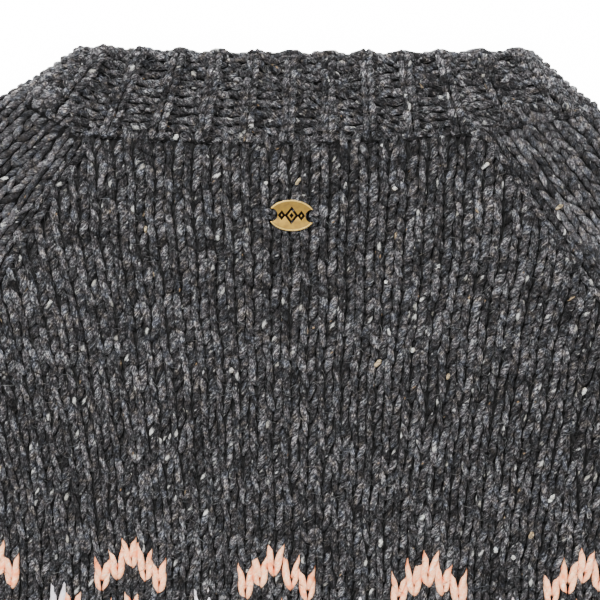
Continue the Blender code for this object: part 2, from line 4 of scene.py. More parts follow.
import bmesh
import bpy
import numpy as np
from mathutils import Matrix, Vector


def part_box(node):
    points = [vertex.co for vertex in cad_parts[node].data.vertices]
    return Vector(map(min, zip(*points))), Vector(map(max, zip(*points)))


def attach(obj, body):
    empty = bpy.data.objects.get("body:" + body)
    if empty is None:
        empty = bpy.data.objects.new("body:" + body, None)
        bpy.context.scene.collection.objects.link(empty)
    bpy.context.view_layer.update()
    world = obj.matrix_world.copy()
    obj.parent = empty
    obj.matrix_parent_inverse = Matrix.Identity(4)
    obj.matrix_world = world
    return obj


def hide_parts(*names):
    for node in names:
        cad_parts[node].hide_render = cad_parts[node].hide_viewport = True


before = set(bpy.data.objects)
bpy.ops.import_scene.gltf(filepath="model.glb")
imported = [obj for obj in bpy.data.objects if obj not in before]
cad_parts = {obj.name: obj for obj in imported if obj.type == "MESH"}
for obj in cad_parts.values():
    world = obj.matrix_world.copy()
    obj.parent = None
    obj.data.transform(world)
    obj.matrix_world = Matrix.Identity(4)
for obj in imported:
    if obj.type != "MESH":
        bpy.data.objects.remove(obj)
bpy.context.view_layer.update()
chance = np.random.RandomState(41)
mm = 0.001

# The sweater's own plan in millimetres, with y = 0 at the hem and x = 0 in the middle of the back
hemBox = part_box("hem_rib_back")
planMiddle = ((hemBox[0].x + hemBox[1].x) / 2, hemBox[0].y)

layers = {"foldLevel": 5.5, "top": 11.0, "foldReach": 8.0, "foldArc": 10.8}
body = {
    "hemHalf": 250.0,
    "weltHalf": 262.0,
    "weltHeight": 58.0,
    "chestHalf": 280.0,
    "blouse": 95.0,
    "underarm": 293.0,
    "sway": {-1: 2.6, 1: -1.9},
}
neck = {
    "seamCorner": {-1: (-134.0, 578.0), 1: (137.0, 571.0)},
    "edgeCorner": {-1: (-100.5, 601.5), 1: (106.5, 600.0)},
    "raglanTop": {-1: (-102.0, 560.5), 1: (91.0, 562.0)},
    "seamSag": 4.5,
    "edgeSag": 2.0,
    "seamLength": 271.0,
    "edgeLength": 207.0,
    "bandRows": 10.2,
    "ribStart": 0.057,
    "ribShare": 0.0821,
}
arm = {
    "slope": math.radians(45),
    "shoulderSlope": math.radians(30),
    "shoulderEndSlope": math.radians(53),
    "shoulderEnd": (383.0, 412.0),
    "pull": 110.0,
    "length": 362.0,
    "endWidth": 104.0,
    "cuffLength": 60.0,
    "cuffWidth": 88.0,
    "bend": {-1: 5.5, 1: -4.0},
    "crown": 5.5,
    "cuffCrown": 2.0,
}
ridges = [  # soft folds of the upper layer: x, y, turn in degrees, length, width and height
    (-205, 262, 34, 95, 15, 7.1),
    (214, 250, 150, 84, 17, 6.1),
    (-128, 196, 22, 120, 22, 4.4),
    (96, 168, 161, 135, 24, 5.1),
    (-40, 118, 8, 110, 20, 4.1),
    (168, 98, 172, 90, 18, 4.8),
    (-192, 104, 12, 80, 17, 4.2),
    (-292, 352, 108, 78, 15, 7.8),
    (300, 348, 66, 70, 16, 7.1),
    (-338, 318, 122, 62, 14, 5.8),
    (352, 300, 52, 66, 15, 6.5),
    (-440, 226, 96, 52, 14, 6.1),
    (428, 240, 88, 55, 13, 5.4),
    (-476, 172, 124, 44, 13, 4.8),
    (486, 168, 60, 46, 12, 5.8),
]


def mix(a, b, share):
    return a + (b - a) * share


def ease(value):
    value = np.clip(value, 0.0, 1.0)
    return value * value * (3 - 2 * value)


def bell(away, reach):
    return np.exp(-((away / reach) ** 2))


def pointMix(p, q, share):
    return mix(p[0], q[0], share), mix(p[1], q[1], share)


def ridgeLift(x, y):
    lift = np.zeros_like(x, dtype=float)
    for ridgeX, ridgeY, turn, length, width, height in ridges:
        cos, sin = math.cos(math.radians(turn)), math.sin(math.radians(turn))
        dx, dy = x - ridgeX, y - ridgeY
        along = (dx * cos + dy * sin) / (length / 2)
        across = (dy * cos - dx * sin) / width
        lift += height * np.exp(-(across**2) - along**4)
    return lift


def foldProfile(a, top):  # a is measured round the fold, from its outermost line
    reach, arc, level = layers["foldReach"], layers["foldArc"], layers["foldLevel"]
    up = np.clip(a / arc, 0, 1) * math.pi / 2
    down = np.clip(-a / arc, 0, 1) * math.pi / 2
    inset = np.where(a >= 0, reach * (1 - np.cos(up)), reach * (1 - np.cos(down)))
    inset = inset + np.maximum(np.abs(a) - arc, 0)
    height = np.where(a >= 0, level + (top - level) * np.sin(up), level * (1 - np.sin(down)))
    return inset, height


def handSway(x, y):  # hand knitting never runs quite straight
    dx = 0.45 * np.sin(0.105 * y + 2.1 * np.sin(0.052 * x)) + 0.28 * np.sin(0.31 * y + 0.11 * x)
    dy = 0.5 * np.sin(0.083 * x + 1.7 * np.sin(0.041 * y)) + 0.3 * np.sin(0.27 * x - 0.09 * y)
    return dx, dy


def roundedEdge(inset, top):  # a rib's height, which falls to the fold in a quarter circle
    share = np.clip(inset / layers["foldReach"], 0, 1)
    return mix(layers["foldLevel"], top, np.sqrt(1 - (1 - share) ** 2))


def raglanPoint(side, share):
    start = (side * body["chestHalf"], body["underarm"])
    return pointMix(start, neck["raglanTop"][side], share)


def raglanLine(side):  # the seam's lower end, its direction and its length
    p, q = raglanPoint(side, 0.0), raglanPoint(side, 1.0)
    length = math.dist(p, q)
    return p, (q[0] - p[0]) / length, (q[1] - p[1]) / length, length


def fromRaglan(side, x, y):  # how far inside the back a point lies, and how far up the seam
    p, ux, uy, length = raglanLine(side)
    dx, dy = x - p[0], y - p[1]
    return side * (dy * ux - dx * uy), (dx * ux + dy * uy) / length


def neckSeam(share):  # from the left fold at 0 to the right fold at 1
    left, right = neck["seamCorner"][-1], neck["seamCorner"][1]
    insideLeft, insideRight = neck["raglanTop"][-1], neck["raglanTop"][1]
    x = mix(left[0], right[0], share)
    y = np.interp(
        x,
        [left[0], insideLeft[0], insideRight[0], right[0]],
        [left[1], insideLeft[1], insideRight[1], right[1]],
    )
    inside = np.clip((x - insideLeft[0]) / (insideRight[0] - insideLeft[0]), 0, 1)
    return x, y - neck["seamSag"] * np.sin(math.pi * inside)


def neckSeamHeight(x):
    left, right = neck["seamCorner"][-1][0], neck["seamCorner"][1][0]
    return neckSeam(np.clip((x - left) / (right - left), 0, 1))[1]


seams = {
    "raglanDip": 2.0,
    "raglanWidth": 2.4,
    "neckDip": 1.4,
    "neckWidth": 4.2,
    "neckReach": 140,
    # painted shade under the neckband: its strength, width and reach
    "shade": 0.2,
    "shadeWidth": 5.0,
    "shadeReach": 115,
}
hollows = [  # where the seams meet, the knit sinks further: x, y, width, height and depth
    (71, 560, 9, 4, 1.0),
    (55, 562, 6, 3, 0.7),
    (-112, 537, 7, 5, 0.9),
    (-117, 552, 6, 4, 0.7),
]
shadows = [  # soft dark spots painted on the wool, those by the neck and raglan seams as painted shade: x, y, width, height and shade
    (58, 557, 22, 5, 0.34),
    (32, 555, 16, 4, 0.22),
    (74, 553, 8, 5, 0.28),
    (-110, 536, 6, 6, 0.45),
    (-131, 409, 8, 4, 0.4),
    (23, 525, 9, 4, 0.25),
    (64, 437, 6, 5, 0.25),
    (85, 381, 6, 5, 0.3),
    (103, 395, 6, 5, 0.25),
    (-90, 449, 7, 4, 0.2),
]


def softSpots(spots, x, y):
    total = np.zeros_like(x, dtype=float)
    for spotX, spotY, wide, high, deep in spots:
        total += deep * np.exp(-(((x - spotX) / wide) ** 2) - ((y - spotY) / high) ** 2)
    return total


def seamDip(x, y):  # the knit sinks into its seams
    dip = softSpots(hollows, x, y)
    for side in (-1, 1):
        away, up = fromRaglan(side, x, y)
        near = ease(up * 12 + 0.2) * ease((1.02 - up) * 30)
        dip += seams["raglanDip"] * bell(away, seams["raglanWidth"]) * near
    away = y - neckSeamHeight(x)
    inReach = np.abs(x) < seams["neckReach"]
    return dip + seams["neckDip"] * bell(away, seams["neckWidth"]) * inReach


def softShade(x, y):  # painted shade under the neckband and by the seams, and a few darker spots
    away = y - neckSeamHeight(x) + 2.5
    underBand = seams["shade"] * bell(away, seams["shadeWidth"])
    return underBand * (np.abs(x) < seams["shadeReach"]) + softSpots(shadows, x, y)


print("1. mapped the sweater's plan")


# Yarn: every half stitch is one plump grain that tucks its ends under its neighbours

spun = {
    "sink": 1.35,  # how deep the yarn's middle lies below the knit's face
    "uneven": 0.12,
    "thinnest": 0.8,
    "thickest": 1.25,
    "restless": 0.18,
    # painted shade: how dark each grain's flanks are painted, and the most painted shade any point
    # takes
    "flankShade": 0.55,
    "darkest": 1.5,
}
grainStops = [0.0, 0.12, 0.3, 0.5, 0.7, 0.88, 1.0]  # where along a grain its look is given


def storeValues(mesh, name, values):  # one number or one vector for each point
    kind, field = ("FLOAT_VECTOR", "vector") if values.ndim == 2 else ("FLOAT", "value")
    stored = mesh.attributes.new(name, kind, "POINT")
    stored.data.foreach_set(field, values.astype(np.float32).ravel())


def layOut(name, mesh, slot):
    made = bpy.data.objects.new(name, mesh)
    bpy.context.scene.collection.objects.link(made)
    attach(made, "root")
    return made


class YarnMesh:
    def __init__(self):
        self.points, self.faces, self.yarn, self.tuck, self.count = [], [], [], [], 0

    def addGrains(self, place, start, end, look, turn=1.0):
        rings, across = look["rings"], look["across"]
        number = len(start[0])
        if number == 0:
            return
        t = np.concatenate([[0.0], np.linspace(0.12, 0.88, rings), [1.0]])
        slack = look.get("bow", 0.0) * np.sin(math.pi * t)
        wobble = chance.normal(0, look["wobble"], (4, number, 1))
        u = (start[0][:, None] + wobble[0]) * (1 - t) + (end[0][:, None] + wobble[1]) * t
        v = (start[1][:, None] + wobble[2]) * (1 - t) + (end[1][:, None] + wobble[3]) * t
        u = u + slack * look.get("side", np.ones(number))[:, None]
        v = v + look.get("arch", 0.0) * np.sin(math.pi * t)
        step = 0.12
        centre = place(u, v)
        byU = place(u + step, v) - place(u - step, v)
        byV = place(u, v + step) - place(u, v - step)
        normal = np.cross(byU, byV) * turn
        normal /= np.linalg.norm(normal, axis=2, keepdims=True) + 1e-9
        along = np.gradient(centre, axis=1)
        along /= np.linalg.norm(along, axis=2, keepdims=True) + 1e-9
        side = np.cross(normal, along)
        side /= np.linalg.norm(side, axis=2, keepdims=True) + 1e-9
        radius = look["radius"]
        fat = radius * (1 + chance.normal(0, spun["uneven"], (number, 1)))
        fat = np.clip(fat, radius * spun["thinnest"], radius * spun["thickest"])
        stops = look.get("stops", grainStops)
        width = fat * np.interp(t, stops, look["girth"])
        lift = np.interp(t, stops, look["lift"])
        lift = lift + chance.normal(0, spun["restless"], (number, 1))
        facing = np.clip(normal[:, :, 2:3], 0, 1)
        centre = centre + normal * (lift[:, :, None] - spun["sink"] * (0.25 + 0.75 * facing))
        ring = np.linspace(0, math.pi, across)
        points = np.empty((number, rings * across + 2, 3))
        yarn = np.empty((number, rings * across + 2, 3))
        # painted shade: each grain is darkened at its ends and flanks, where it lies in its
        # neighbours' shade
        tuck = np.ones((number, rings * across + 2))
        paintedEndShade = np.interp(t, stops, look.get("tuck", np.zeros(len(stops))))
        offset = chance.uniform(0, 900, (number, 1))
        pieces = np.linalg.norm(np.diff(centre, axis=1), axis=2)
        lengths = np.cumsum(np.concatenate([np.zeros((number, 1)), pieces], axis=1), axis=1)
        for r in range(rings):
            for k in range(across):
                index = 1 + r * across + k
                cos, sin = math.cos(ring[k]), math.sin(ring[k])
                half = width[:, r + 1, None]
                out = cos * half * side[:, r + 1]
                up = sin * look["height"] * half * normal[:, r + 1]
                points[:, index] = centre[:, r + 1] + out + up
                yarn[:, index, 0] = lengths[:, r + 1] + offset[:, 0]
                yarn[:, index, 1] = (ring[k] - math.pi / 2) * radius
                tuck[:, index] = max(paintedEndShade[r + 1], spun["flankShade"] * abs(cos) ** 3)
        for index, r in ((0, 0), (rings * across + 1, rings + 1)):
            points[:, index] = centre[:, r]
            yarn[:, index, 0] = lengths[:, r] + offset[:, 0]
            yarn[:, index, 1] = 0.0
        yarn[:, :, 2] = chance.uniform(0, 500, (number, 1))
        points[:, :, 2] = np.maximum(points[:, :, 2], 0.05)
        # painted shade under the neckband and by the seams, and a few darker spots
        tuck = tuck + softShade(points[:, :, 0], points[:, :, 1])
        tuck = np.minimum(tuck, spun["darkest"])
        quads, tips = grainFaces(rings, across)
        each = rings * across + 2
        shift = self.count + np.arange(number)[:, None, None] * each
        self.faces.append((quads[None] + shift).reshape(-1, 4))
        self.faces.append((tips[None] + shift).reshape(-1, 3))
        self.points.append(points.reshape(-1, 3))
        self.yarn.append(yarn.reshape(-1, 3))
        self.tuck.append(tuck.ravel())
        self.count += number * each

    def finish(self, name, material, slot):
        points = np.concatenate(self.points) * mm
        points[:, 0] += planMiddle[0]
        points[:, 1] += planMiddle[1]
        quads = np.concatenate([f for f in self.faces if f.shape[1] == 4])
        tips = np.concatenate([f for f in self.faces if f.shape[1] == 3])
        mesh = bpy.data.meshes.new(name)
        mesh.vertices.add(len(points))
        mesh.vertices.foreach_set("co", points.astype(np.float32).ravel())
        mesh.loops.add(quads.size + tips.size)
        mesh.loops.foreach_set(
            "vertex_index", np.concatenate([quads.ravel(), tips.ravel()]).astype(np.int32)
        )
        mesh.polygons.add(len(quads) + len(tips))
        starts = np.concatenate(
            [np.arange(len(quads)) * 4, quads.size + np.arange(len(tips)) * 3]
        )
        mesh.polygons.foreach_set("loop_start", starts.astype(np.int32))
        mesh.update(calc_edges=True)
        mesh.validate()
        mesh.shade_smooth()
        storeValues(mesh, "yarn", np.concatenate(self.yarn))
        storeValues(mesh, "tuck", np.concatenate(self.tuck))
        mesh.materials.append(material)
        print("   ", name, len(quads) * 2 + len(tips), "triangles")
        return layOut(name, mesh, slot)


def grainFaces(rings, across):
    quads, tips = [], []
    for r in range(rings - 1):
        for k in range(across):
            here, beside = 1 + r * across + k, 1 + r * across + (k + 1) % across
            quads.append((here, beside, beside + across, here + across))
    last = 1 + (rings - 1) * across
    for k in range(across):
        tips.append((0, 1 + (k + 1) % across, 1 + k))
        tips.append((last + across, last + k, last + (k + 1) % across))
    return np.array(quads), np.array(tips)


# The two ends of a grain are pointed and painted darker as shade, and the upper one tucks deeper
legLook = {
    "rings": 6,
    "across": 6,
    "radius": 1.84,
    "height": 1.1,
    "bow": 0.095,
    "feet": (0.07, 0.05),
    "tips": (0.36, 0.39),
    "reach": 2.05,
    "wobble": 0.035,
    "girth": [0.0, 0.6, 1.0, 1.04, 0.76, 0.42, 0.0],
    "lift": [-0.5, 0.2, 0.65, 0.4, -0.4, -1.15, -1.7],
    "tuck": [1.0, 0.55, 0.0, 0.12, 0.62, 0.95, 1.0],
}
chestLegLook = dict(
    legLook,
    radius=1.46,
    bow=0.085,
    feet=(0.055, 0.035),
    tips=(0.395, 0.43),
    reach=2.15,
    wobble=0.055,
)
sleeveLegLook = dict(chestLegLook, radius=1.72, height=1.1, reach=2.0, wobble=0.05)
bandLegLook = dict(  # the band's smoother yarn shows each half stitch as a slim leaf
    legLook,
    radius=1.45,
    height=1.2,
    bow=0.08,
    feet=(0.05, 0.03),
    tips=(0.41, 0.45),
    reach=2.36,
    wobble=0.035,
    foot=0.42,
    girth=[0.0, 0.7, 1.0, 1.06, 0.84, 0.5, 0.0],
    lift=[-0.5, 0.35, 0.75, 0.6, 0.35, -0.3, -1.3],
)
whiteLegLook = dict(bandLegLook, reach=2.9, lift=[-0.5, 0.35, 0.75, 0.7, 0.55, 0.2, -0.7])


def plain(look):  # fewer faces, for what the photograph doesn't show
    return dict(look, rings=3, across=5)


def addStitches(yarn, place, u, v, look, turn=1.0):
    settle = chance.normal(0, 0.06, len(u))
    u = u + chance.normal(0, look["wobble"] * 0.6, len(u))
    for side, foot, tip in zip((-1, 1), look["feet"], look["tips"]):  # spun yarn leans to one side
        start = (u + side * foot, v - look.get("foot", 0.12) + settle)
        end = (u + side * tip, v + look["reach"] + settle)
        yarn.addGrains(place, start, end, dict(look, side=np.full(len(u), float(side))), turn)


# Back panel

back = {
    "halfWales": 41,
    "rowBelow": 5.15,
    "rowAbove": 5.5,
    "bandTopRow": 60,
    "spread": [  # height, and how wide one wale is there
        (293, 6.90), (368, 6.98), (384, 7.13), (402, 7.27), (421, 7.50), (439, 7.73),
        (457, 7.93), (476, 8.21), (494, 8.52), (513, 8.76), (531, 8.92), (575, 9.15),
    ],
    "courseBow": [  # place across the band, and how far the courses rise there
        (-280, 4.0), (-148, 2.2), (-79, 0.0), (-11, -3.7),
        (60, -7.6), (130, -5.6), (200, -2.0), (280, 0.0),
    ],
    "bandShift": [  # place across the band, and how far its columns drift sideways there
        (-280, 0.0), (-149, 3.9), (-94, 2.9), (-87, 2.7), (-80, 2.3), (-73, 1.6), (-66, 1.0),
        (-45, 0.3), (-10, -0.9), (4, -0.2), (59, -0.2), (129, 1.7), (280, 0.0),
    ],
    "zones": [("upper", 455), ("middle", 330), ("lower", 190), ("sides", 0)],
    "chartStart": 7,
}
badge = {
    "centre": (-3.9, 523.8),
    "width": 21.4,
    "height": 14.2,
    "thickness": 1.2,
    "level": 11.3,
    "turn": -2.0,
    "rim": 0.62,
    "rimRise": 0.16,
    "notchRadius": 3.0,
    "notchReach": 9.4,
    "lineDepth": 0.3,
    "rimSlope": 0.14,
    "bedReach": (13, 9),  # the wool gives a little under the plate
    "bedDepth": 0.7,
    "edge": 0.09,
    "lozenges": [  # incised: the place, and the half sizes outside and inside
        {"x": 0.0, "outer": (3.2, 4.1), "inner": (1.85, 2.4)},
        {"x": 0.0, "outer": (0.95, 1.3), "inner": None},
        {"x": -4.5, "outer": (1.8, 2.3), "inner": (0.5, 0.7)},
        {"x": 4.5, "outer": (1.8, 2.3), "inner": (0.5, 0.7)},
    ],
}


def readOff(table, place):
    return np.interp(place, *zip(*table))


def courseHeight(v):
    above = np.maximum(v - back["bandTopRow"], 0)
    extra = (back["rowAbove"] - back["rowBelow"]) * (above - 3 * (1 - np.exp(-above / 3)))
    return body["weltHeight"] + back["rowBelow"] * v + extra


def bodyHalf(side, y):
    welt = mix(body["hemHalf"], body["weltHalf"], ease(y / body["weltHeight"]))
    share = (y - body["weltHeight"]) / (body["underarm"] - body["weltHeight"])
    blouse = ease((y - body["weltHeight"]) / body["blouse"])
    chest = mix(body["weltHalf"], body["chestHalf"], blouse)
    chest = chest + body["sway"][side] * np.sin(3 * math.pi * share)
    return np.where(y <= body["weltHeight"], welt, chest)


def backPlace(u, v):  # u counts wales from the middle, and past the fold it runs on to the front
    y = courseHeight(v)
    side = np.where(u < 0, -1.0, 1.0)
    half = np.where(u < 0, bodyHalf(-1, y), bodyHalf(1, y))
    halfArc = half - layers["foldReach"] + layers["foldArc"]
    folded = y < body["underarm"]
    wale = np.where(folded, halfArc / back["halfWales"], readOff(back["spread"], y))
    out = np.abs(u) * wale
    flatX = side * out
    bow = readOff(back["courseBow"], flatX)
    atBand = ease((y - 140) / 200) * (1 - 0.9 * ease((y - 400) / 140))
    atNeck = ease((y - 470) / 90)
    sag = neck["seamSag"] * (1 - np.clip(flatX / 97, -1, 1) ** 2)
    raised = y + bow * atBand - sag * atNeck
    top = layers["top"] + ridgeLift(flatX, raised)
    inset, height = foldProfile(halfArc - out, top)
    x = np.where(folded, side * (half - inset), flatX)
    z = np.where(folded, height, top - seamDip(flatX, raised))
    bandX = readOff(back["bandShift"], flatX)
    swayX, swayY = handSway(x, raised)
    x = x + bandX * atBand + swayX * ease((half - np.abs(x)) / 30)
    bedX = (x - badge["centre"][0]) / badge["bedReach"][0]
    bedY = (raised - badge["centre"][1]) / badge["bedReach"][1]
    z = z - badge["bedDepth"] * np.exp(-(np.hypot(bedX, bedY) ** 4))
    return np.stack([x, raised + swayY, z], axis=-1)


# Ten stitches of the band's chart, from its top row down: p is peach and w is white
bandChart = [
    ".....p....",
    "....ppp...",
    "...pp.pp..",
    "...p...p..",
    "..........",
    "wp...p....",
    "w...ppp...",
    "...pp.pp..",
    "w.pp...pp.",
    "...pp.pp..",
    "w...ppp...",
    "wp...p....",
    "..........",
    "...p...p..",
    "...pp.pp..",
    "....ppp...",
    ".....p....",
]


def chartColour(wale, row):
    down = back["bandTopRow"] - row
    if 0 <= down < len(bandChart):
        return bandChart[down][(wale + back["chartStart"]) % 10]
    return "."


closeUp = {"half": 152, "low": 330}  # the part of the sweater that the photograph shows


def inView(point):
    return bool(abs(point[0]) < closeUp["half"] and point[1] > closeUp["low"])


backYarn = {key: YarnMesh() for key in ("upper", "middle", "lower", "sides", "p", "w")}
groups = {}
halfWales = back["halfWales"]
for wale in range(-halfWales - 1, halfWales + 1):
    for row in range(0, 98):
        u = wale + 0.5
        centre = backPlace(np.array([u]), np.array([row + 1.0]))[0]
        if centre[1] >= body["underarm"]:
            if abs(u) > halfWales:
                continue
            if min(fromRaglan(side, centre[0], centre[1])[0] for side in (-1, 1)) < 5.0:
                continue
            if centre[1] > neckSeamHeight(np.array([centre[0]]))[0] + 3.0:
                continue
        key = chartColour(wale, row)
        if key == ".":
            key = next(zone for zone, low in back["zones"] if centre[1] > low)
        groups.setdefault((key, inView(centre)), []).append((u, float(row)))
for (key, close), found in groups.items():
    look = {"upper": legLook, "p": bandLegLook, "w": whiteLegLook}.get(key, chestLegLook)
    u, v = np.array(found).T
    addStitches(backYarn[key], backPlace, u, v, look if close else plain(look))


def threadPlace(u, v):  # millimetres from the middle of the badge
    turn = math.radians(badge["turn"])
    x = badge["centre"][0] + u * math.cos(turn) - v * math.sin(turn)
    y = badge["centre"][1] + u * math.sin(turn) + v * math.cos(turn)
    return np.stack([x, y, np.full_like(x, badge["level"] + 0.6)], axis=-1)


threads = {  # each strand runs from beside the badge down into its notch
    "outer": [(-13.2, 2.3), (-13.6, -0.9), (13.4, 1.5), (13.0, -2.0)],
    "inner": [(-8.0, 1.0), (-8.1, -1.5), (8.0, 0.9), (8.3, -1.3)],
}
threadYarn = YarnMesh()
threadYarn.addGrains(
    threadPlace,
    tuple(np.array(threads["outer"]).T),
    tuple(np.array(threads["inner"]).T),
    dict(
        legLook,
        radius=1.3,
        wobble=0.0,
        lift=[-1.4, -0.2, 0.9, 1.1, 0.5, -0.9, -1.6],
        tuck=[0] * 7,
    ),
)

nubs = {  # the largest knots of paler wool that the tweed yarn carries, in millimetres on the plan
    "radius": 0.92,
    "cream": [
        (-56.6, 589.0), (-39.1, 589.6), (12.9, 585.3), (-57.6, 560.2), (-15.4, 539.0),
        (43.7, 536.1), (85.6, 547.1), (-37.7, 513.1), (-115.0, 484.1), (40.0, 492.8),
        (62.6, 499.7), (40.5, 470.7), (52.0, 462.0), (-31.3, 452.8), (130.6, 442.7),
        (115.5, 393.5), (56.0, 384.6), (37.3, 373.2), (90.2, 370.0), (97.6, 366.4),
    ],
    "tan": [
        (-1.0, 539.8), (119.6, 527.8), (-71.3, 517.7),
        (35.4, 456.0), (68.1, 449.6), (106.4, 377.2),
    ],
}


def nubPlace(u, v):
    z = layers["top"] + ridgeLift(u, v) - seamDip(u, v) + 0.4 * (v > 566)
    return np.stack([u, v, z], axis=-1)


nubYarn = {}
for kind in ("cream", "tan"):
    nubYarn[kind] = YarnMesh()
    at = np.array(nubs[kind])
    lean = chance.normal(0.35, 0.45, len(at))
    half = chance.uniform(1.3, 2.2, len(at))
    nubYarn[kind].addGrains(
        nubPlace,
        (at[:, 0] - half * lean, at[:, 1] - half),
        (at[:, 0] + half * lean, at[:, 1] + half),
        {
            "rings": 5,
            "across": 8,
            "radius": nubs["radius"],
            "height": 0.9,
            "wobble": 0.35,
            "girth": [0.0, 0.5, 1.05, 0.95, 1.15, 0.55, 0.0],
            "lift": [0.6, 1.2, 1.7, 1.8, 1.7, 1.2, 0.6],
        },
    )
print("2. knitted the back:", sum(len(found) for found in groups.values()), "stitches")


# Raglan seams: a chain of stitches runs along each edge

seamChain = {"away": 3.3, "row": 6.2, "half": 3.6}


def seamPlace(side, inward):
    p, ux, uy, length = raglanLine(side)
    nx, ny = -side * uy, side * ux

    def place(u, v):
        away = inward * seamChain["away"] - side * u * 2 * seamChain["half"]
        x = p[0] + ux * v * seamChain["row"] + nx * away
        y = p[1] + uy * v * seamChain["row"] + ny * away
        z = layers["top"] + 0.35 + ridgeLift(x, y) - seamDip(x, y) * 0.8
        return np.stack([x, y, z], axis=-1)

    return place, length / seamChain["row"]


# Sleeves

armCos, armSin = math.cos(arm["slope"]), math.sin(arm["slope"])


def shoulderCurve(side, share):
    start = neck["seamCorner"][side]
    end = (side * arm["shoulderEnd"][0], arm["shoulderEnd"][1])
    pull = arm["pull"]
    first = (
        start[0] + side * pull * math.cos(arm["shoulderSlope"]),
        start[1] - pull * math.sin(arm["shoulderSlope"]),
    )
    second = (
        end[0] - side * pull * math.cos(arm["shoulderEndSlope"]),
        end[1] + pull * math.sin(arm["shoulderEndSlope"]),
    )
    s = 1 - share
    weights = (s**3, 3 * s * s * share, 3 * s * share * share, share**3)
    return tuple(
        sum(w * p[axis] for w, p in zip(weights, (start, first, second, end)))
        for axis in (0, 1)
    )


def armEdge(side, distance):
    down = distance / (arm["length"] + arm["cuffLength"])
    sway = arm["bend"][side] * np.sin(1.6 * math.pi * down)
    x = side * (body["chestHalf"] + distance * armCos + sway * armSin)
    return x, body["underarm"] - distance * armSin + sway * armCos


reachX = arm["shoulderEnd"][0] - body["chestHalf"]
reachY = arm["shoulderEnd"][1] - body["underarm"]
armWidth, armLag = reachX * armSin + reachY * armCos, reachX * armCos - reachY * armSin
sleeveKnit = {
    "capRows": 56,
    "row": 5.5,
    "wale": 7.5,
    "seamShare": {-1: 0.55, 1: 0.9},
    "armRows": 66,
}


def sleeveEnds(side, v):
    cap = v < sleeveKnit["capRows"]
    share = np.clip(v / sleeveKnit["capRows"], -0.08, 1)
    capFold = shoulderCurve(side, share)
    capSeam = raglanPoint(side, 1 - share)
    distance = np.maximum(v - sleeveKnit["capRows"], 0) * sleeveKnit["row"]
    seam = armEdge(side, distance)
    down = distance / arm["length"]
    width = mix(armWidth, arm["endWidth"], down)
    lag = armLag * (1 - ease(down))
    foldX = seam[0] + side * (width * armSin + lag * armCos)
    foldY = seam[1] + width * armCos - lag * armSin
    fold = (np.where(cap, capFold[0], foldX), np.where(cap, capFold[1], foldY))
    seam = (np.where(cap, capSeam[0], seam[0]), np.where(cap, capSeam[1], seam[1]))
    return fold, seam, down


def sleevePlace(side):
    reach, arc = layers["foldReach"], layers["foldArc"]

    def place(u, v):
        fold, seam, down = sleeveEnds(side, v)
        dx, dy = seam[0] - fold[0], seam[1] - fold[1]
        width = np.hypot(dx, dy)
        cap = v < sleeveKnit["capRows"]
        shift = np.where(cap, sleeveKnit["seamShare"][side] * (width - armWidth), 0.0)
        a = u * sleeveKnit["wale"] + shift
        crown = arm["crown"] * ease(down * 4) + (arm["cuffCrown"] - arm["crown"]) * ease(down)
        inset, _ = foldProfile(a, layers["top"])
        wholeArc = width - 2 * reach + 2 * arc
        fromSeam = wholeArc - a
        seamInset, _ = foldProfile(fromSeam, layers["top"])
        nearSeam = (fromSeam < wholeArc / 2) & ~cap
        distance = np.where(nearSeam, width - seamInset, inset)
        proud = 2.6 * np.clip(1 - np.abs(a) / 14, 0, 1) ** 2 * np.exp(-np.maximum(v, 0) / 20)
        distance = distance - proud
        x, y = fold[0] + dx * distance / width, fold[1] + dy * distance / width
        bulge = crown * np.sin(math.pi * np.clip(distance / width, 0, 1)) ** 0.8
        top = layers["top"] + ridgeLift(x, y) + bulge
        top = np.where(cap, top - seamDip(x, y), top)
        _, foldHeight = foldProfile(a, top)
        _, seamHeight = foldProfile(fromSeam, top)
        z = np.where(nearSeam, seamHeight, foldHeight)
        return np.stack([x, y, z], axis=-1)

    return place


sleeveYarn = {}
for side, name in ((-1, "left"), (1, "right")):
    place = sleevePlace(side)
    yarn = YarnMesh()
    rows = sleeveKnit["capRows"] + sleeveKnit["armRows"]
    close, far = [], []
    for row in range(-2, rows - 1):
        fold, seam, down = sleeveEnds(side, np.array(row - 1.0))
        width = float(np.hypot(seam[0] - fold[0], seam[1] - fold[1]))
        cap = row < sleeveKnit["capRows"]
        shift = sleeveKnit["seamShare"][side] * (width - armWidth) if cap else 0.0
        arcs = 1 if cap else 2
        whole = width + arcs * (layers["foldArc"] - layers["foldReach"])
        first = math.floor((-8.0 - shift) / sleeveKnit["wale"])
        for wale in range(first, first + 40):
            u = wale + 0.5
            a = u * sleeveKnit["wale"] + shift
            if a < -7.0 or a > whole - (4.6 if cap else -5.0):
                continue
            centre = place(np.array([u]), np.array([row - 1.0]))[0]
            (close if inView(centre) else far).append((u, float(row)))
    for found, look in ((close, sleeveLegLook), (far, plain(legLook))):
        u, v = np.array(found).T
        # rows are counted down the arm, and stitches point up it
        addStitches(yarn, lambda u, v: place(u, -v), u, -v - 1.0, look, turn=-side)
    sleeveYarn[name] = yarn
    for edgeYarn, inward in ((yarn, -1), (backYarn["upper"], 1)):
        chainPlace, chainRows = seamPlace(side, inward)
        v = np.arange(0.5, chainRows - 0.4)
        addStitches(edgeYarn, chainPlace, np.zeros(len(v)), v, dict(legLook, rings=4, across=5))
    print("3. knitted the", name, "sleeve:", len(close) + len(far), "stitches")


# Ribbing: one knit wale stands proud and two purl wales lie back

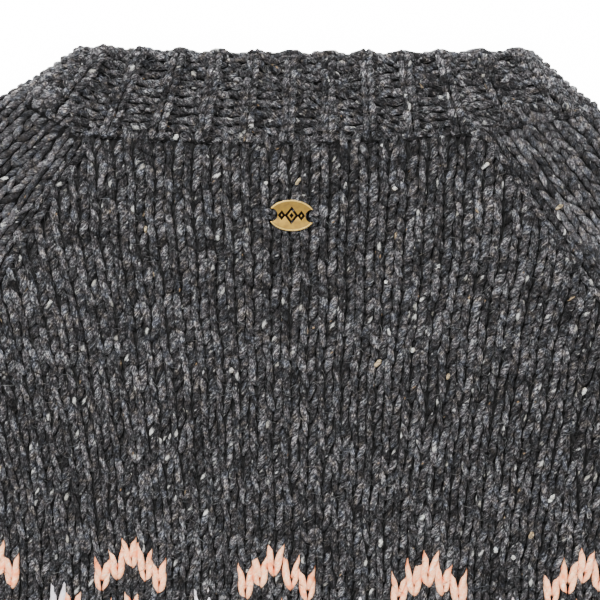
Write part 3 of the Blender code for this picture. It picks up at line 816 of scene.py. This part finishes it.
ribLook = dict(legLook, radius=1.8, bow=0.08, rings=5, across=6)
purlLook = {
    "rings": 4,
    "across": 5,
    "radius": 1.6,
    "height": 1.0,
    "bow": 0.0,
    "wobble": 0.05,
    "girth": [0.0, 0.66, 0.98, 1.05, 0.95, 0.6, 0.0],
    "lift": [-1.0, -0.35, 0.15, 0.35, 0.1, -0.4, -1.1],
    "tuck": [1.0, 0.6, 0.15, 0.0, 0.15, 0.6, 1.0],
}
purlBumps = [  # place across the rib, place in the course, arch and shade
    (0.36, 0.20, 0.30, 0.05),
    (0.64, 0.25, 0.30, 0.05),
    (0.50, 0.70, -0.25, 0.0),
    (0.23, 0.75, -0.20, 0.65),
    (0.77, 0.70, -0.20, 0.50),
]
ribs = {"hem": 30, "cuff": 5, "start": 0.24, "course": 4.6, "rows": 13}


def ribRise(c):
    return np.interp(np.abs(c - np.round(c)), [0, 0.13, 0.32, 0.5], [1.5, 1.5, -0.9, -0.9])


def addRibbing(yarn, place, wales, rows, legs, turn=1.0, ends=()):
    columns, courses = np.meshgrid(np.array([*wales, *ends], float), np.arange(0, rows))
    for side in (-1, 1):
        start = (columns.ravel() + side * 0.05, courses.ravel() - 0.15)
        top = np.minimum(courses.ravel() + 2.0, rows - 0.85)
        end = (columns.ravel() + side * 0.155, top)
        sides = np.full(columns.size, side * 0.012)
        yarn.addGrains(place, start, end, dict(legs, side=sides, wobble=0.012), turn)
    columns, courses = np.meshgrid(np.array(wales, float), np.arange(0, rows))
    for column, height, arch, shaded in purlBumps:
        c = columns.ravel() + column + chance.normal(0, 0.012, columns.size)
        v = courses.ravel() + height + chance.normal(0, 0.08, columns.size)
        slant = chance.normal(0.12, 0.16, c.size)
        kept = (c > min(ends, default=-99)) & (c < max(ends, default=99))
        c, v, slant = c[kept], v[kept], slant[kept]
        start = (c - 0.165, np.clip(v + slant - arch / 2, -0.2, rows - 1.05))
        end = (c + 0.165, np.clip(v - slant - arch / 2, -0.2, rows - 1.05))
        # painted shade: purl bumps beside the knit wale are painted darker, as they lie in its
        # shade
        tuck = [min(depth + shaded, 1.0) for depth in purlLook["tuck"]]
        look = dict(purlLook, wobble=0.02, arch=arch, tuck=tuck)
        yarn.addGrains(place, start, end, look, turn)


def bandSpread(share):
    centred = 2 * share - 1
    return 0.5 + 0.5 * (0.86 * centred + 0.14 * centred**3)


def neckbandPlace(c, v):
    run = neck["ribStart"] + neck["ribShare"] * c
    under = (run < 0) | (run > 1)
    share = np.where(run < 0, -run, np.where(run > 1, 2 - run, run))
    height = v / neck["bandRows"]
    seamX, seamY = neckSeam(bandSpread(share))
    left, right = neck["edgeCorner"][-1], neck["edgeCorner"][1]
    edgeX, edgeY = mix(left[0], right[0], share), mix(left[1], right[1], share)
    edgeY = edgeY - neck["edgeSag"] * np.sin(math.pi * np.clip(share, 0, 1))
    rise = ribRise(c)
    edgeY = edgeY + 0.6 * rise / 1.2 * ease(height * 2 - 1)
    x, y = mix(seamX, edgeX, height), mix(seamY, edgeY, height)
    length = mix(neck["seamLength"], neck["edgeLength"], height)
    inset = np.minimum(share, 1 - share) * length
    top = layers["top"] + rise - 1.6 * bell(v, 0.8)
    top = top - 1.4 * ease((height - 0.93) / 0.1)
    top = np.where(under, 0.3, top)
    z = roundedEdge(inset, top)
    lower = (1 - np.clip(height, 0, 1)) ** 2
    proud = np.where(share < 0.5, 0.3 + 1.4 * lower, 2.4 * lower - 0.1)
    proud = proud * np.clip(1 - inset / 12, 0, 1) ** 2
    x = x + np.where(share < 0.5, -0.57, 0.69) * proud
    y = y + np.where(share < 0.5, 0.82, 0.72) * proud
    return np.stack([x, y, z], axis=-1)


neckYarn = YarnMesh()
bandEnds = (
    -neck["ribStart"] / neck["ribShare"] + 0.1,
    (1 - neck["ribStart"]) / neck["ribShare"] - 0.1,
)
addRibbing(neckYarn, neckbandPlace, range(-1, 12), 11, ribLook, ends=bandEnds)
edgeStops = np.arange(-0.66, 11.2, 0.2)
neckYarn.addGrains(  # the cast-off edge
    neckbandPlace,
    (edgeStops, np.full(len(edgeStops), 10.15)),
    (edgeStops + 0.56, np.full(len(edgeStops), 9.9)),
    dict(
        purlLook,
        wobble=0.018,
        radius=1.7,
        girth=[0.0, 0.82, 1.0, 1.0, 1.0, 0.8, 0.0],
        lift=[-0.4, -0.1, 0.1, 0.15, 0.1, -0.1, -0.4],
    ),
)
seamStops = np.arange(-0.62, 11.5, 0.2)
neckYarn.addGrains(  # stitches picked up along the neck seam
    neckbandPlace,
    (seamStops, np.full(len(seamStops), 0.15)),
    (seamStops + 0.3, np.full(len(seamStops), 0.55)),
    dict(purlLook, wobble=0.07, radius=1.7),
)
foldStops = np.arange(-0.6, 9.2, 0.45)
for end, inward in ((bandEnds[0], 1), (bandEnds[1], -1)):  # the band's front half, under its folds
    for away, low in ((-0.07, 0.35), (0.0, -0.1), (0.08, -0.05), (0.18, 0.45)):
        column = np.full(len(foldStops), end + inward * away)
        tips = (column + 0.03 * inward, foldStops + 1.9)
        lift = [-low - 0.3, *[-low] * 5, -low - 0.3]
        foldLook = dict(purlLook, wobble=0.008, radius=2.3, lift=lift)
        neckYarn.addGrains(neckbandPlace, (column, foldStops), tips, foldLook)
print("4. knitted the neckband")


def hemPlace(c, v):
    y = np.clip(v * ribs["course"], -2, 60)
    left, right = -bodyHalf(-1, y), bodyHalf(1, y)
    room = right - left - 2 * layers["foldReach"]
    inset = layers["foldReach"] + room * (c + ribs["start"]) / ribs["hem"]
    inset = np.clip(inset, 0.2, right - left - 0.2)
    x = left + inset
    near = np.minimum(inset, right - left - inset)
    top = layers["top"] + ribRise(c) - 1.5 * bell(y - body["weltHeight"], 2.5)
    z = roundedEdge(near, top)
    return np.stack([x, y, z], axis=-1)


hemYarn = YarnMesh()
plainRibLook = plain(ribLook)
addRibbing(hemYarn, hemPlace, range(ribs["hem"]), ribs["rows"], plainRibLook)


def cuffPlace(side):
    def place(c, v):
        distance = arm["cuffLength"] - np.clip(v * ribs["course"], -1, 61)
        seamX, seamY = armEdge(side, arm["length"] + distance)
        share = ease(distance / arm["cuffLength"])
        width = mix(arm["endWidth"], arm["cuffWidth"], share)
        foldX, foldY = seamX + side * width * armSin, seamY + width * armCos
        room = width - 2 * layers["foldReach"]
        inset = layers["foldReach"] + room * (c + ribs["start"]) / ribs["cuff"]
        inset = np.clip(inset, 0.2, width - 0.2)
        x, y = mix(seamX, foldX, inset / width), mix(seamY, foldY, inset / width)
        crown = arm["cuffCrown"] * (1 - 0.5 * distance / arm["cuffLength"])
        crown = crown * np.sin(math.pi * inset / width) ** 0.8
        top = layers["top"] + ribRise(c) + crown
        near = np.minimum(inset, width - inset)
        z = roundedEdge(near, top)
        return np.stack([x, y, z], axis=-1)

    return place


cuffYarn = {}
for side, name in ((-1, "left"), (1, "right")):
    cuffYarn[name] = YarnMesh()
    wales = range(ribs["cuff"])
    addRibbing(cuffYarn[name], cuffPlace(side), wales, ribs["rows"], plainRibLook, turn=side)
print("5. knitted the hem and cuffs")


# Stray fibres lie over the stitches and soften them

fibres = {"radius": 0.085, "length": (2.0, 6.5), "back": 5200, "sleeve": 900, "neckband": 900}


def addFibres(yarn, place, room, count, unit, keep=None, turn=1.0):
    u = chance.uniform(*room[0], count)
    v = chance.uniform(*room[1], count)
    if keep is not None:
        kept = keep(place(u, v))
        u, v = u[kept], v[kept]
    angle = chance.uniform(0, math.pi, len(u))
    length = chance.uniform(*fibres["length"], len(u))
    du = length * np.cos(angle) / unit[0] / 2
    dv = length * np.sin(angle) / unit[1] / 2
    look = {
        "rings": 3,
        "across": 3,
        "radius": fibres["radius"],
        "height": 1.0,
        "bow": 1.6 / unit[0],
        "wobble": 0.0,
        "side": chance.normal(0, 0.7, len(u)),
        "stops": [0.0, 0.2, 0.5, 0.8, 1.0],
        "girth": [0.0, 1.0, 1.1, 1.0, 0.0],
        "lift": [1.2, 1.95, 2.1, 1.9, 1.0],
    }
    yarn.addGrains(place, (u - du, v - dv), (u + du, v + dv), look, turn)


def onYoke(points):
    x, y = points[:, 0], points[:, 1]
    near = np.minimum(fromRaglan(-1, x, y)[0], fromRaglan(1, x, y)[0])
    return ((near > 2) | (y < body["underarm"])) & (y < neckSeamHeight(x) - 1) & (np.abs(x) < 268)


strayYarn = YarnMesh()
addFibres(strayYarn, backPlace, ((-26, 26), (46, 97)), fibres["back"], (7.2, 5.4), onYoke)
addFibres(strayYarn, backPlace, ((-38, 38), (2, 46)), fibres["back"] // 6, (6.9, 5.2), onYoke)
for side in (-1, 1):
    unit = (sleeveKnit["wale"], sleeveKnit["row"])
    room = ((0.5, 9.5), (0, sleeveKnit["capRows"]))
    addFibres(strayYarn, sleevePlace(side), room, fibres["sleeve"], unit, turn=-side)
addFibres(strayYarn, neckbandPlace, ((-0.6, 11.4), (0.3, 9.6)), fibres["neckband"], (18.0, 4.1))
print("6. laid the stray fibres")


# Materials


class Finish:  # one material, with short ways to add its nodes
    def __init__(self, name, settings):
        self.material = bpy.data.materials.new(name)
        self.material.use_nodes = True
        self.tree = self.material.node_tree
        self.shader = self.tree.nodes["Principled BSDF"]
        self.join(self.shader, settings)
        self.place = self.add("TexCoord").outputs["Object"]

    def join(self, node, inputs):  # values are set, and outputs of other nodes are linked
        for name, value in inputs.items():
            socket = node.inputs[name]
            if isinstance(value, bpy.types.NodeSocket):
                self.tree.links.new(value, socket)
            else:
                socket.default_value = (*value, 1.0) if socket.type == "RGBA" else value

    def add(self, kind, inputs=None, **options):
        node = self.tree.nodes.new("ShaderNode" + kind)
        for option, value in options.items():
            setattr(node, option, value)
        self.join(node, inputs or {})
        return node

    def stored(self, name, output):
        return self.add("Attribute", attribute_name=name).outputs[output]

    def split(self, vector):
        return self.add("SeparateXYZ", {0: vector}).outputs

    def calc(self, kind, first, second):
        return self.add("Math", {0: first, 1: second}, operation=kind).outputs[0]

    def blend(self, kind, share, first, second):
        inputs = {0: share, 6: first, 7: second}
        return self.add("Mix", inputs, data_type="RGBA", blend_type=kind).outputs[2]

    def noise(self, scale, detail, place=None):
        inputs = {"Scale": scale, "Detail": detail, "Vector": place or self.place}
        return self.add("TexNoise", inputs).outputs["Fac"]

    def rescale(self, value, start, end, kind="LINEAR", low=0.0, high=1.0):
        inputs = {"Value": value, "From Min": start, "From Max": end}
        inputs |= {"To Min": low, "To Max": high}
        return self.add("MapRange", inputs, interpolation_type=kind).outputs["Result"]

    def ramp(self, share, stops, kind="LINEAR"):
        node = self.add("ValToRGB", {0: share})
        node.color_ramp.interpolation = kind
        while len(node.color_ramp.elements) < len(stops):
            node.color_ramp.elements.new(0.5)
        for element, (position, colour) in zip(node.color_ramp.elements, stops):
            element.position = position
            element.color = (*colour, 1.0)
        return node.outputs[0]

    def close(self, colour, height, strength, distance):  # the last links: colour and bump
        bump = self.add("Bump", {"Height": height, "Strength": strength, "Distance": distance})
        self.join(self.shader, {"Base Color": colour, "Normal": bump.outputs["Normal"]})
        return self.material


blendedDyes = [  # the grey is blended from bluish, greenish and tan wool
    (0.34, (0.86, 0.96, 1.15)),
    (0.45, (1.0, 1.05, 1.0)),
    (0.54, (1.0, 0.955, 1.02)),
    (0.66, (1.15, 1.02, 0.83)),
]


def woolMaterial(name, wool):
    finish = Finish(
        name,
        {
            "Roughness": 0.9,
            "Specular IOR Level": 0.08,
            "Sheen Weight": wool["sheen"],
            "Sheen Roughness": 0.5,
        },
    )
    calc, blend = finish.calc, finish.blend
    along, around, single = finish.split(finish.stored("yarn", "Vector"))
    # fibres lie at an angle to the yarn, because it is spun
    cos, sin = math.cos(wool["twist"]), math.sin(wool["twist"])
    fibreAlong = calc("ADD", calc("MULTIPLY", along, cos), calc("MULTIPLY", around, sin))
    fibreAcross = calc("SUBTRACT", calc("MULTIPLY", around, cos), calc("MULTIPLY", along, sin))

    def onYarn(stretch, thickness, offset):
        x = calc("MULTIPLY", fibreAlong, 1 / stretch)
        y = calc("MULTIPLY", fibreAcross, 1 / thickness)
        return finish.add("CombineXYZ", {0: x, 1: y, 2: calc("ADD", single, offset)}).outputs[0]

    fine = finish.noise(1.0, 3.0, onYarn(1.7, 0.4, 0.0))
    coarse = finish.noise(1.0, 1.0, onYarn(3.0, 1.2, 7.3))
    fuzz = finish.noise(1150.0, 2.0)
    streak = calc("ADD", calc("MULTIPLY", fine, 0.45), calc("MULTIPLY", coarse, 0.22))
    streak = calc("ADD", streak, calc("MULTIPLY", fuzz, 0.33))
    colour = finish.ramp(streak, wool["heather"])
    # each length of yarn is a little lighter or darker than the next
    perStitch = finish.add("TexWhiteNoise", {"W": single}, noise_dimensions="1D").outputs["Value"]
    seldom = calc("POWER", perStitch, wool["stitchSkew"])
    patch = finish.noise(wool["patchScale"], 2.0)
    tone = calc(
        "ADD",
        calc("MULTIPLY", seldom, wool["stitchTone"]),
        calc("MULTIPLY", patch, wool["patchTone"]),
    )
    middle = wool["stitchTone"] / (1 + wool["stitchSkew"]) + wool["patchTone"] / 2
    # painted shade: the stored darkening at the grains' ends and flanks and by the seams darkens
    # the colour
    depth = finish.stored("tuck", "Fac")
    tucked = calc("MULTIPLY", depth, wool["tuckShade"])
    tone = calc("MULTIPLY", calc("ADD", tone, 1.0 - middle), calc("SUBTRACT", 1.0, tucked))
    shade = finish.add("CombineColor", {0: tone, 1: tone, 2: tone}).outputs[0]
    if "blush" in wool:  # the dye took unevenly, and light bounces in the creases
        colour = blend("MIX", calc("MULTIPLY", depth, 0.27), colour, wool["blush"])
        blots = finish.rescale(finish.noise(210.0, 1.0), 0.53, 0.72, "SMOOTHSTEP")
        colour = blend("MIX", blots, colour, wool["blush"])
    colour = blend("MULTIPLY", 1.0, colour, shade)
    dyes = finish.ramp(finish.noise(300.0, 3.0), blendedDyes)
    colour = blend("MULTIPLY", wool["tint"], colour, dyes)
    for fleck in wool["flecks"]:
        place = onYarn(fleck["length"], fleck["width"], fleck["offset"])
        cells = finish.add("TexVoronoi", {"Scale": 1.0, "Vector": place}).outputs
        chosen = finish.add("SeparateColor", {0: cells["Color"]}).outputs
        picked = calc("GREATER_THAN", chosen[0], 1 - fleck["share"])
        ragged = calc("ADD", calc("MULTIPLY", streak, -1.1), cells["Distance"])
        size = fleck["size"]
        inside = finish.rescale(ragged, size - 0.55, size * 0.2 - 0.55, "SMOOTHSTEP")
        mask = calc("MULTIPLY", calc("MULTIPLY", picked, inside), calc("MULTIPLY", streak, 1.9))
        kinds = finish.ramp(chosen[1], fleck["colours"], "CONSTANT")
        colour = blend("MIX", mask, colour, kinds)
    return finish.close(colour, streak, wool["bump"], 0.0006)


tweedFlecks = [
    {
        "length": 5.5,
        "width": 2.6,
        "offset": 31.7,
        "share": 0.05,
        "size": 0.5,
        "colours": [
            (0.0, (0.34, 0.34, 0.32)),
            (0.4, (0.46, 0.46, 0.44)),
            (0.66, (0.26, 0.25, 0.22)),
            (0.92, (0.30, 0.22, 0.13)),
        ],
    },
    {
        "length": 2.6,
        "width": 1.2,
        "offset": 90.1,
        "share": 0.045,
        "size": 0.45,
        "colours": [
            (0.0, (0.25, 0.25, 0.25)),
            (0.5, (0.17, 0.165, 0.155)),
            (0.93, (0.20, 0.13, 0.07)),
        ],
    },
]
charcoal = {
    "sheen": 0.02,
    "twist": math.radians(36),
    "heather": [
        (0.40, (0.0052, 0.0052, 0.0052)),
        (0.470, (0.0146, 0.0142, 0.0152)),
        (0.528, (0.0392, 0.0380, 0.0406)),
        (0.590, (0.118, 0.115, 0.118)),
        (0.680, (0.236, 0.230, 0.228)),
    ],
    "patchScale": 90.0,
    "stitchTone": 1.7,
    "stitchSkew": 2.0,
    "patchTone": 1.4,
    "tuckShade": 0.55,
    "tint": 0.64,
    "flecks": tweedFlecks,
    "bump": 1.0,
}
peach = {
    "sheen": 0.06,
    "twist": math.radians(36),
    "heather": [
        (0.28, (0.95, 0.18, 0.05)),
        (0.41, (0.98, 0.36, 0.16)),
        (0.52, (0.99, 0.53, 0.30)),
        (0.63, (1.0, 0.79, 0.57)),
    ],
    "patchScale": 60.0,
    "stitchTone": 0.22,
    "stitchSkew": 1.0,
    "patchTone": 0.2,
    "tuckShade": 0.26,
    "tint": 0.3,
    "blush": (0.95, 0.27, 0.10),
    "flecks": [
        {
            "length": 4.0,
            "width": 2.0,
            "offset": 12.0,
            "share": 0.12,
            "size": 0.45,
            "colours": [(0.0, (0.92, 0.40, 0.20)), (0.5, (0.93, 0.84, 0.76))],
        }
    ],
    "bump": 0.5,
}
paleLilac = dict(
    peach,
    heather=[
        (0.30, (0.42, 0.40, 0.46)),
        (0.45, (0.62, 0.60, 0.66)),
        (0.56, (0.76, 0.74, 0.78)),
        (0.72, (0.88, 0.86, 0.88)),
    ],
    flecks=[],
    blush=(0.80, 0.66, 0.66),
)


def reshade(heather, factors):
    return [
        (position, tuple(factor * value for value in colour))
        for factor, (position, colour) in zip(factors, heather)
    ]


tweed = charcoal["heather"]
litRibTweed = dict(charcoal, heather=reshade(tweed, [1.16] * 5))  # a lighter copy of the tweed for the ribbing: painted light, for the stronger light on the neckband
# a copy of the tweed for the sleeves with its darks lifted most: painted light
litArmTweed = dict(charcoal, heather=reshade(tweed, (2.3, 1.85, 1.14, 0.92, 0.83)))
tweedWool = woolMaterial("tweedWool", charcoal)
litArmWool = woolMaterial("litArmWool", litArmTweed)
litRibWool = woolMaterial("litRibWool", litRibTweed)
peachWool = woolMaterial("peachWool", peach)
paleWool = woolMaterial("paleWool", paleLilac)


groundLook = {
    "drop": {"body": 2.1, "sleeve": 1.8, "rib": 1.55},  # how far below the knit's face it lies
    "wale": 6.95,
    "course": 5.15,
    # painted shade: the ground's near-black colours
    "shades": [
        (0.1, (0.004, 0.004, 0.004)),
        (0.42, (0.013, 0.013, 0.013)),
        (0.8, (0.034, 0.034, 0.035)),
    ],
}


def groundMaterial():  # the knit's ground between the stitches, near black as painted shade and painted lighter on its raised V's; and its plain underside
    finish = Finish("knitGroundShade", {"Roughness": 0.95, "Specular IOR Level": 0.03})
    calc = finish.calc
    across, up, _ = finish.split(finish.stored("knit", "Vector"))
    leg = calc("PINGPONG", across, 0.5)
    wave = calc("PINGPONG", calc("SUBTRACT", up, calc("MULTIPLY", leg, 2.4)), 0.5)
    edge = calc("PINGPONG", calc("MULTIPLY", leg, 2.0), 0.5)
    relief = calc("MULTIPLY", wave, calc("POWER", edge, 0.5))
    height = calc("ADD", relief, calc("MULTIPLY", finish.noise(900.0, 3.0), 0.35))
    return finish.close(finish.ramp(height, groundLook["shades"]), height, 0.9, 0.0012)


knitGroundShade = groundMaterial()
strayHeather = [
    (0.2, (0.03, 0.03, 0.03)),
    (0.45, (0.06, 0.06, 0.06)),
    (0.6, (0.10, 0.10, 0.10)),
    (0.8, (0.16, 0.155, 0.15)),
]
strayWool = woolMaterial("strayWool", dict(charcoal, flecks=[], heather=strayHeather))
nubTweed = dict(charcoal, flecks=[], patchTone=0.3, stitchTone=0.7, tuckShade=0.4)
nubWool = {}
for kind, colour in (("cream", (0.47, 0.47, 0.44)), ("tan", (0.39, 0.31, 0.195))):
    heather = reshade([(0.42, colour), (0.5, colour), (0.6, colour)], (0.28, 0.85, 1.4))
    nubWool[kind] = woolMaterial(kind + "Nub", dict(nubTweed, heather=heather))
threadTweed = dict(charcoal, flecks=[], stitchTone=0.8, patchTone=0.4)
threadWool = woolMaterial("threadWool", dict(threadTweed, heather=reshade(tweed, [1.9] * 5)))
print("7. spun the wool's materials")


# Ground layers: each piece of the sweater, a yarn's depth below its stitches


def groundLayer(node, turn, slot):
    kind = "rib" if slot == "rib" else "sleeve" if node.startswith("sleeve") else "body"
    shape = bmesh.new()
    shape.from_mesh(bpy.data.objects[node].data)
    bmesh.ops.remove_doubles(shape, verts=shape.verts, dist=1e-6)
    shape.normal_update()
    for vertex in shape.verts:
        drop = groundLook["drop"][kind] * mm * max(vertex.normal.z, 0.0)
        vertex.co.z = max(vertex.co.z - drop, 0.0)
    mesh = bpy.data.meshes.new(node + "_ground")
    shape.to_mesh(mesh)
    shape.free()
    mesh.shade_smooth()
    cos, sin = math.cos(turn), math.sin(turn)
    knit = np.array([vertex.co for vertex in mesh.vertices]) / mm
    across = (knit[:, 0] * cos + knit[:, 1] * sin) / groundLook["wale"]
    up = (knit[:, 1] * cos - knit[:, 0] * sin) / groundLook["course"]
    storeValues(mesh, "knit", np.stack([across, up, np.zeros(len(knit))], axis=1))
    mesh.materials.clear()
    mesh.materials.append(knitGroundShade)
    made = layOut(node + "_ground", mesh, slot)
    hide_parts(node)
    return made


yarnPieces = [  # the part that each dresses, its name, yarn, material and slot
    ("back_panel", "back_yoke_stitches", backYarn["upper"], tweedWool, "wool"),
    ("back_panel", "back_chest_stitches", backYarn["middle"], tweedWool, "wool"),
    ("back_panel", "back_waist_stitches", backYarn["lower"], tweedWool, "wool"),
    ("back_panel", "back_low_stitches", backYarn["sides"], tweedWool, "wool"),
    ("back_panel", "back_band_peach", backYarn["p"], peachWool, "wool"),
    ("back_panel", "back_band_pale", backYarn["w"], paleWool, "wool"),
    ("back_panel", "stray_fibres", strayYarn, strayWool, "wool"),
    ("back_panel", "cream_nubs", nubYarn["cream"], nubWool["cream"], "wool"),
    ("back_panel", "tan_nubs", nubYarn["tan"], nubWool["tan"], "wool"),
    ("back_panel", "badge_thread", threadYarn, threadWool, "wool"),
    ("sleeve_left", "sleeve_left_stitches", sleeveYarn["left"], litArmWool, "wool"),
    ("sleeve_right", "sleeve_right_stitches", sleeveYarn["right"], litArmWool, "wool"),
    ("neckband", "neckband_stitches", neckYarn, litRibWool, "rib"),
    ("hem_rib_back", "hem_stitches", hemYarn, litRibWool, "rib"),
    ("cuff_left", "cuff_left_stitches", cuffYarn["left"], litRibWool, "rib"),
    ("cuff_right", "cuff_right_stitches", cuffYarn["right"], litRibWool, "rib"),
]
stitches = {}
for node, name, yarn, material, slot in yarnPieces:
    stitches.setdefault(node, []).append(yarn.finish(name, material, slot))
flatSizes = {  # metres, as knitted, with the turn of the rows and what each piece lies on
    "back_panel": {"size": (0.575, 0.504), "area": 0.232, "turn": 0.0, "on": ["front_panel"]},
    "front_panel": {"size": (0.575, 0.470), "area": 0.218, "turn": 0.0, "on": []},
    "sleeve_left": {"size": (0.330, 0.700), "area": 0.160, "turn": -0.785, "on": []},
    "sleeve_right": {"size": (0.330, 0.700), "area": 0.160, "turn": 0.785, "on": []},
    "neckband": {"size": (0.560, 0.042), "area": 0.0232, "turn": 0.0, "on": []},
    "hem_rib_back": {"size": (0.530, 0.058), "area": 0.0304, "turn": 0.0, "on": ["hem_rib_front"]},
    "hem_rib_front": {"size": (0.530, 0.058), "area": 0.0304, "turn": 0.0, "on": []},
    "cuff_left": {"size": (0.192, 0.060), "area": 0.0115, "turn": -0.785, "on": []},
    "cuff_right": {"size": (0.192, 0.060), "area": 0.0115, "turn": 0.785, "on": []},
}
for node, cut in flatSizes.items():
    slot = "rib" if node.startswith(("hem", "cuff", "neck")) else "wool"
    ground = groundLayer(node, cut["turn"], slot)
print("8. laid the ground layers")


# Brass plate: a raised rim, an incised lozenge pattern and a notch at each end for the thread


def cutWith(target, cutter):
    bpy.ops.object.select_all(action="DESELECT")
    target.select_set(True)
    bpy.context.view_layer.objects.active = target
    step = target.modifiers.new("cut", "BOOLEAN")
    step.operation = "DIFFERENCE"
    step.solver = "EXACT"
    step.object = cutter
    bpy.ops.object.modifier_apply(modifier=step.name)
    bpy.data.objects.remove(cutter)


def upright(sides, place, size, depth):
    bpy.ops.object.select_all(action="DESELECT")
    bpy.ops.mesh.primitive_cylinder_add(
        vertices=sides, radius=1.0, depth=1.0, location=[p * mm for p in place]
    )
    made = bpy.context.object
    bpy.ops.object.mode_set(mode="EDIT")
    bpy.ops.mesh.select_all(action="SELECT")
    bpy.ops.transform.resize(
        value=(size[0] * mm, size[1] * mm, depth * mm), center_override=[p * mm for p in place]
    )
    bpy.ops.object.mode_set(mode="OBJECT")
    return made


def makeBadge():
    wide, high, thick = badge["width"] / 2, badge["height"] / 2, badge["thickness"]
    plate = upright(128, (0, 0, 0), (wide, high), thick)
    plate.name = "badge_plate"
    bpy.ops.object.mode_set(mode="EDIT")
    bpy.ops.mesh.select_mode(type="FACE")
    bpy.ops.mesh.select_all(action="DESELECT")
    bpy.ops.object.mode_set(mode="OBJECT")
    for face in plate.data.polygons:
        face.select = face.normal.z > 0.9
    bpy.ops.object.mode_set(mode="EDIT")
    bpy.ops.mesh.inset(thickness=badge["rim"] * mm, depth=0.0)
    bpy.ops.mesh.inset(thickness=badge["rimSlope"] * mm, depth=-badge["rimRise"] * mm)
    bpy.ops.object.mode_set(mode="OBJECT")
    for side in (-1, 1):
        radius = badge["notchRadius"]
        cutWith(plate, upright(48, (side * badge["notchReach"], 0, 0), (radius, radius), 4.0))
    floorLevel = thick / 2 - badge["rimRise"] - badge["lineDepth"]
    for lozenge in badge["lozenges"]:
        place = (lozenge["x"], 0, floorLevel + 1.0)
        cutter = upright(4, place, lozenge["outer"], 2.0)
        if lozenge["inner"]:
            cutWith(cutter, upright(4, place, lozenge["inner"], 3.0))
        cutWith(plate, cutter)
    bevel = plate.modifiers.new("edge", "BEVEL")
    bevel.width = badge["edge"] * mm
    bevel.segments = 2
    bevel.limit_method = "ANGLE"
    bevel.angle_limit = math.radians(40)
    bpy.ops.object.modifier_apply(modifier=bevel.name)
    plate.rotation_euler = (0, 0, math.radians(badge["turn"]))
    plate.location = (
        planMiddle[0] + badge["centre"][0] * mm,
        planMiddle[1] + badge["centre"][1] * mm,
        (badge["level"] + thick / 2) * mm,
    )
    bpy.ops.object.transform_apply(location=True, rotation=True, scale=True)
    bpy.ops.object.shade_smooth_by_angle(angle=math.radians(35))
    plate.data.materials.clear()
    plate.data.materials.append(agedBrass())
    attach(plate, "root")
    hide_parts("badge")


brassShades = [
    (0.0, (0.008, 0.006, 0.005)),
    (0.42, (0.016, 0.011, 0.007)),
    (0.56, (0.15, 0.09, 0.03)),
    (0.68, (0.232, 0.143, 0.030)),
    (0.84, (0.284, 0.183, 0.038)),
    (1.0, (0.60, 0.40, 0.112)),
]


def agedBrass():  # bright where it rubs, brown in the hollows
    finish = Finish("agedBrass", {"Metallic": 1.0})
    calc = finish.calc
    top = (badge["level"] + badge["thickness"]) * mm
    face = top - badge["rimRise"] * mm
    level = finish.split(finish.place)[2]
    height = finish.rescale(level, face - badge["lineDepth"] * mm, top)
    mottle = calc("MULTIPLY", finish.noise(420.0, 5.0), 0.34)
    wear = calc("SUBTRACT", calc("ADD", height, mottle), 0.17)
    rough = finish.rescale(wear, 0.0, 1.0, low=0.85, high=0.34)
    finish.join(finish.shader, {"Roughness": rough})
    stretched = finish.add("Mapping", {"Vector": finish.place, "Scale": (0.25, 1.0, 1.0)})
    scratches = finish.noise(1800.0, 3.0, stretched.outputs["Vector"])
    return finish.close(finish.ramp(wear, brassShades), scratches, 0.25, 0.0001)


makeBadge()
print("9. cut the brass plate")


# Floor, light and camera

floorLook = {"size": 6.0, "shade": 0.9, "glow": 13.0}
bpy.ops.object.select_all(action="DESELECT")
bpy.ops.mesh.primitive_plane_add(size=floorLook["size"], location=(0, 0, -0.0004))
floor = bpy.context.object
floor.name = "floor"
paper = Finish(
    "whitePaper",
    {
        "Base Color": (floorLook["shade"],) * 3,
        "Roughness": 0.9,
        "Emission Color": (1.0, 1.0, 1.0),
        "Emission Strength": floorLook["glow"],
    },
)
floor.data.materials.append(paper.material)

world = bpy.data.worlds.new("softStudio")
bpy.context.scene.world = world
world.use_nodes = True
sky = world.node_tree.nodes["Background"].inputs
sky["Color"].default_value = (1.0, 1.0, 1.0, 1.0)
sky["Strength"].default_value = 1.49


def softLight(name, place, size, power):
    data = bpy.data.lights.new(name, "AREA")
    data.size = size
    data.energy = power
    made = bpy.data.objects.new(name, data)
    made.location = place
    aim = Vector((0.0, 0.15, 0.0)) - Vector(place)
    made.rotation_euler = aim.to_track_quat("-Z", "Y").to_euler()
    bpy.context.scene.collection.objects.link(made)


softLight("topLight", (-0.5, 1.4, 1.3), 0.7, 73.0)
softLight("fillLight", (0.9, -0.9, 1.6), 1.2, 30.0)

view = {"frame": 0.276, "lens": 90.0, "sensor": 36.0, "centre": (0.0, 485.0)}
distance = view["frame"] * view["lens"] / view["sensor"]
lens = bpy.data.cameras.new("photoCamera")
lens.lens = view["lens"]
lens.sensor_width = view["sensor"]
lens.clip_start = 0.05
camera = bpy.data.objects.new("photoCamera", lens)
camera.location = (
    planMiddle[0] + view["centre"][0] * mm,
    planMiddle[1] + view["centre"][1] * mm,
    layers["top"] * mm + distance,
)
bpy.context.scene.collection.objects.link(camera)
bpy.context.scene.camera = camera

print("10. set the floor, the lights and the camera")
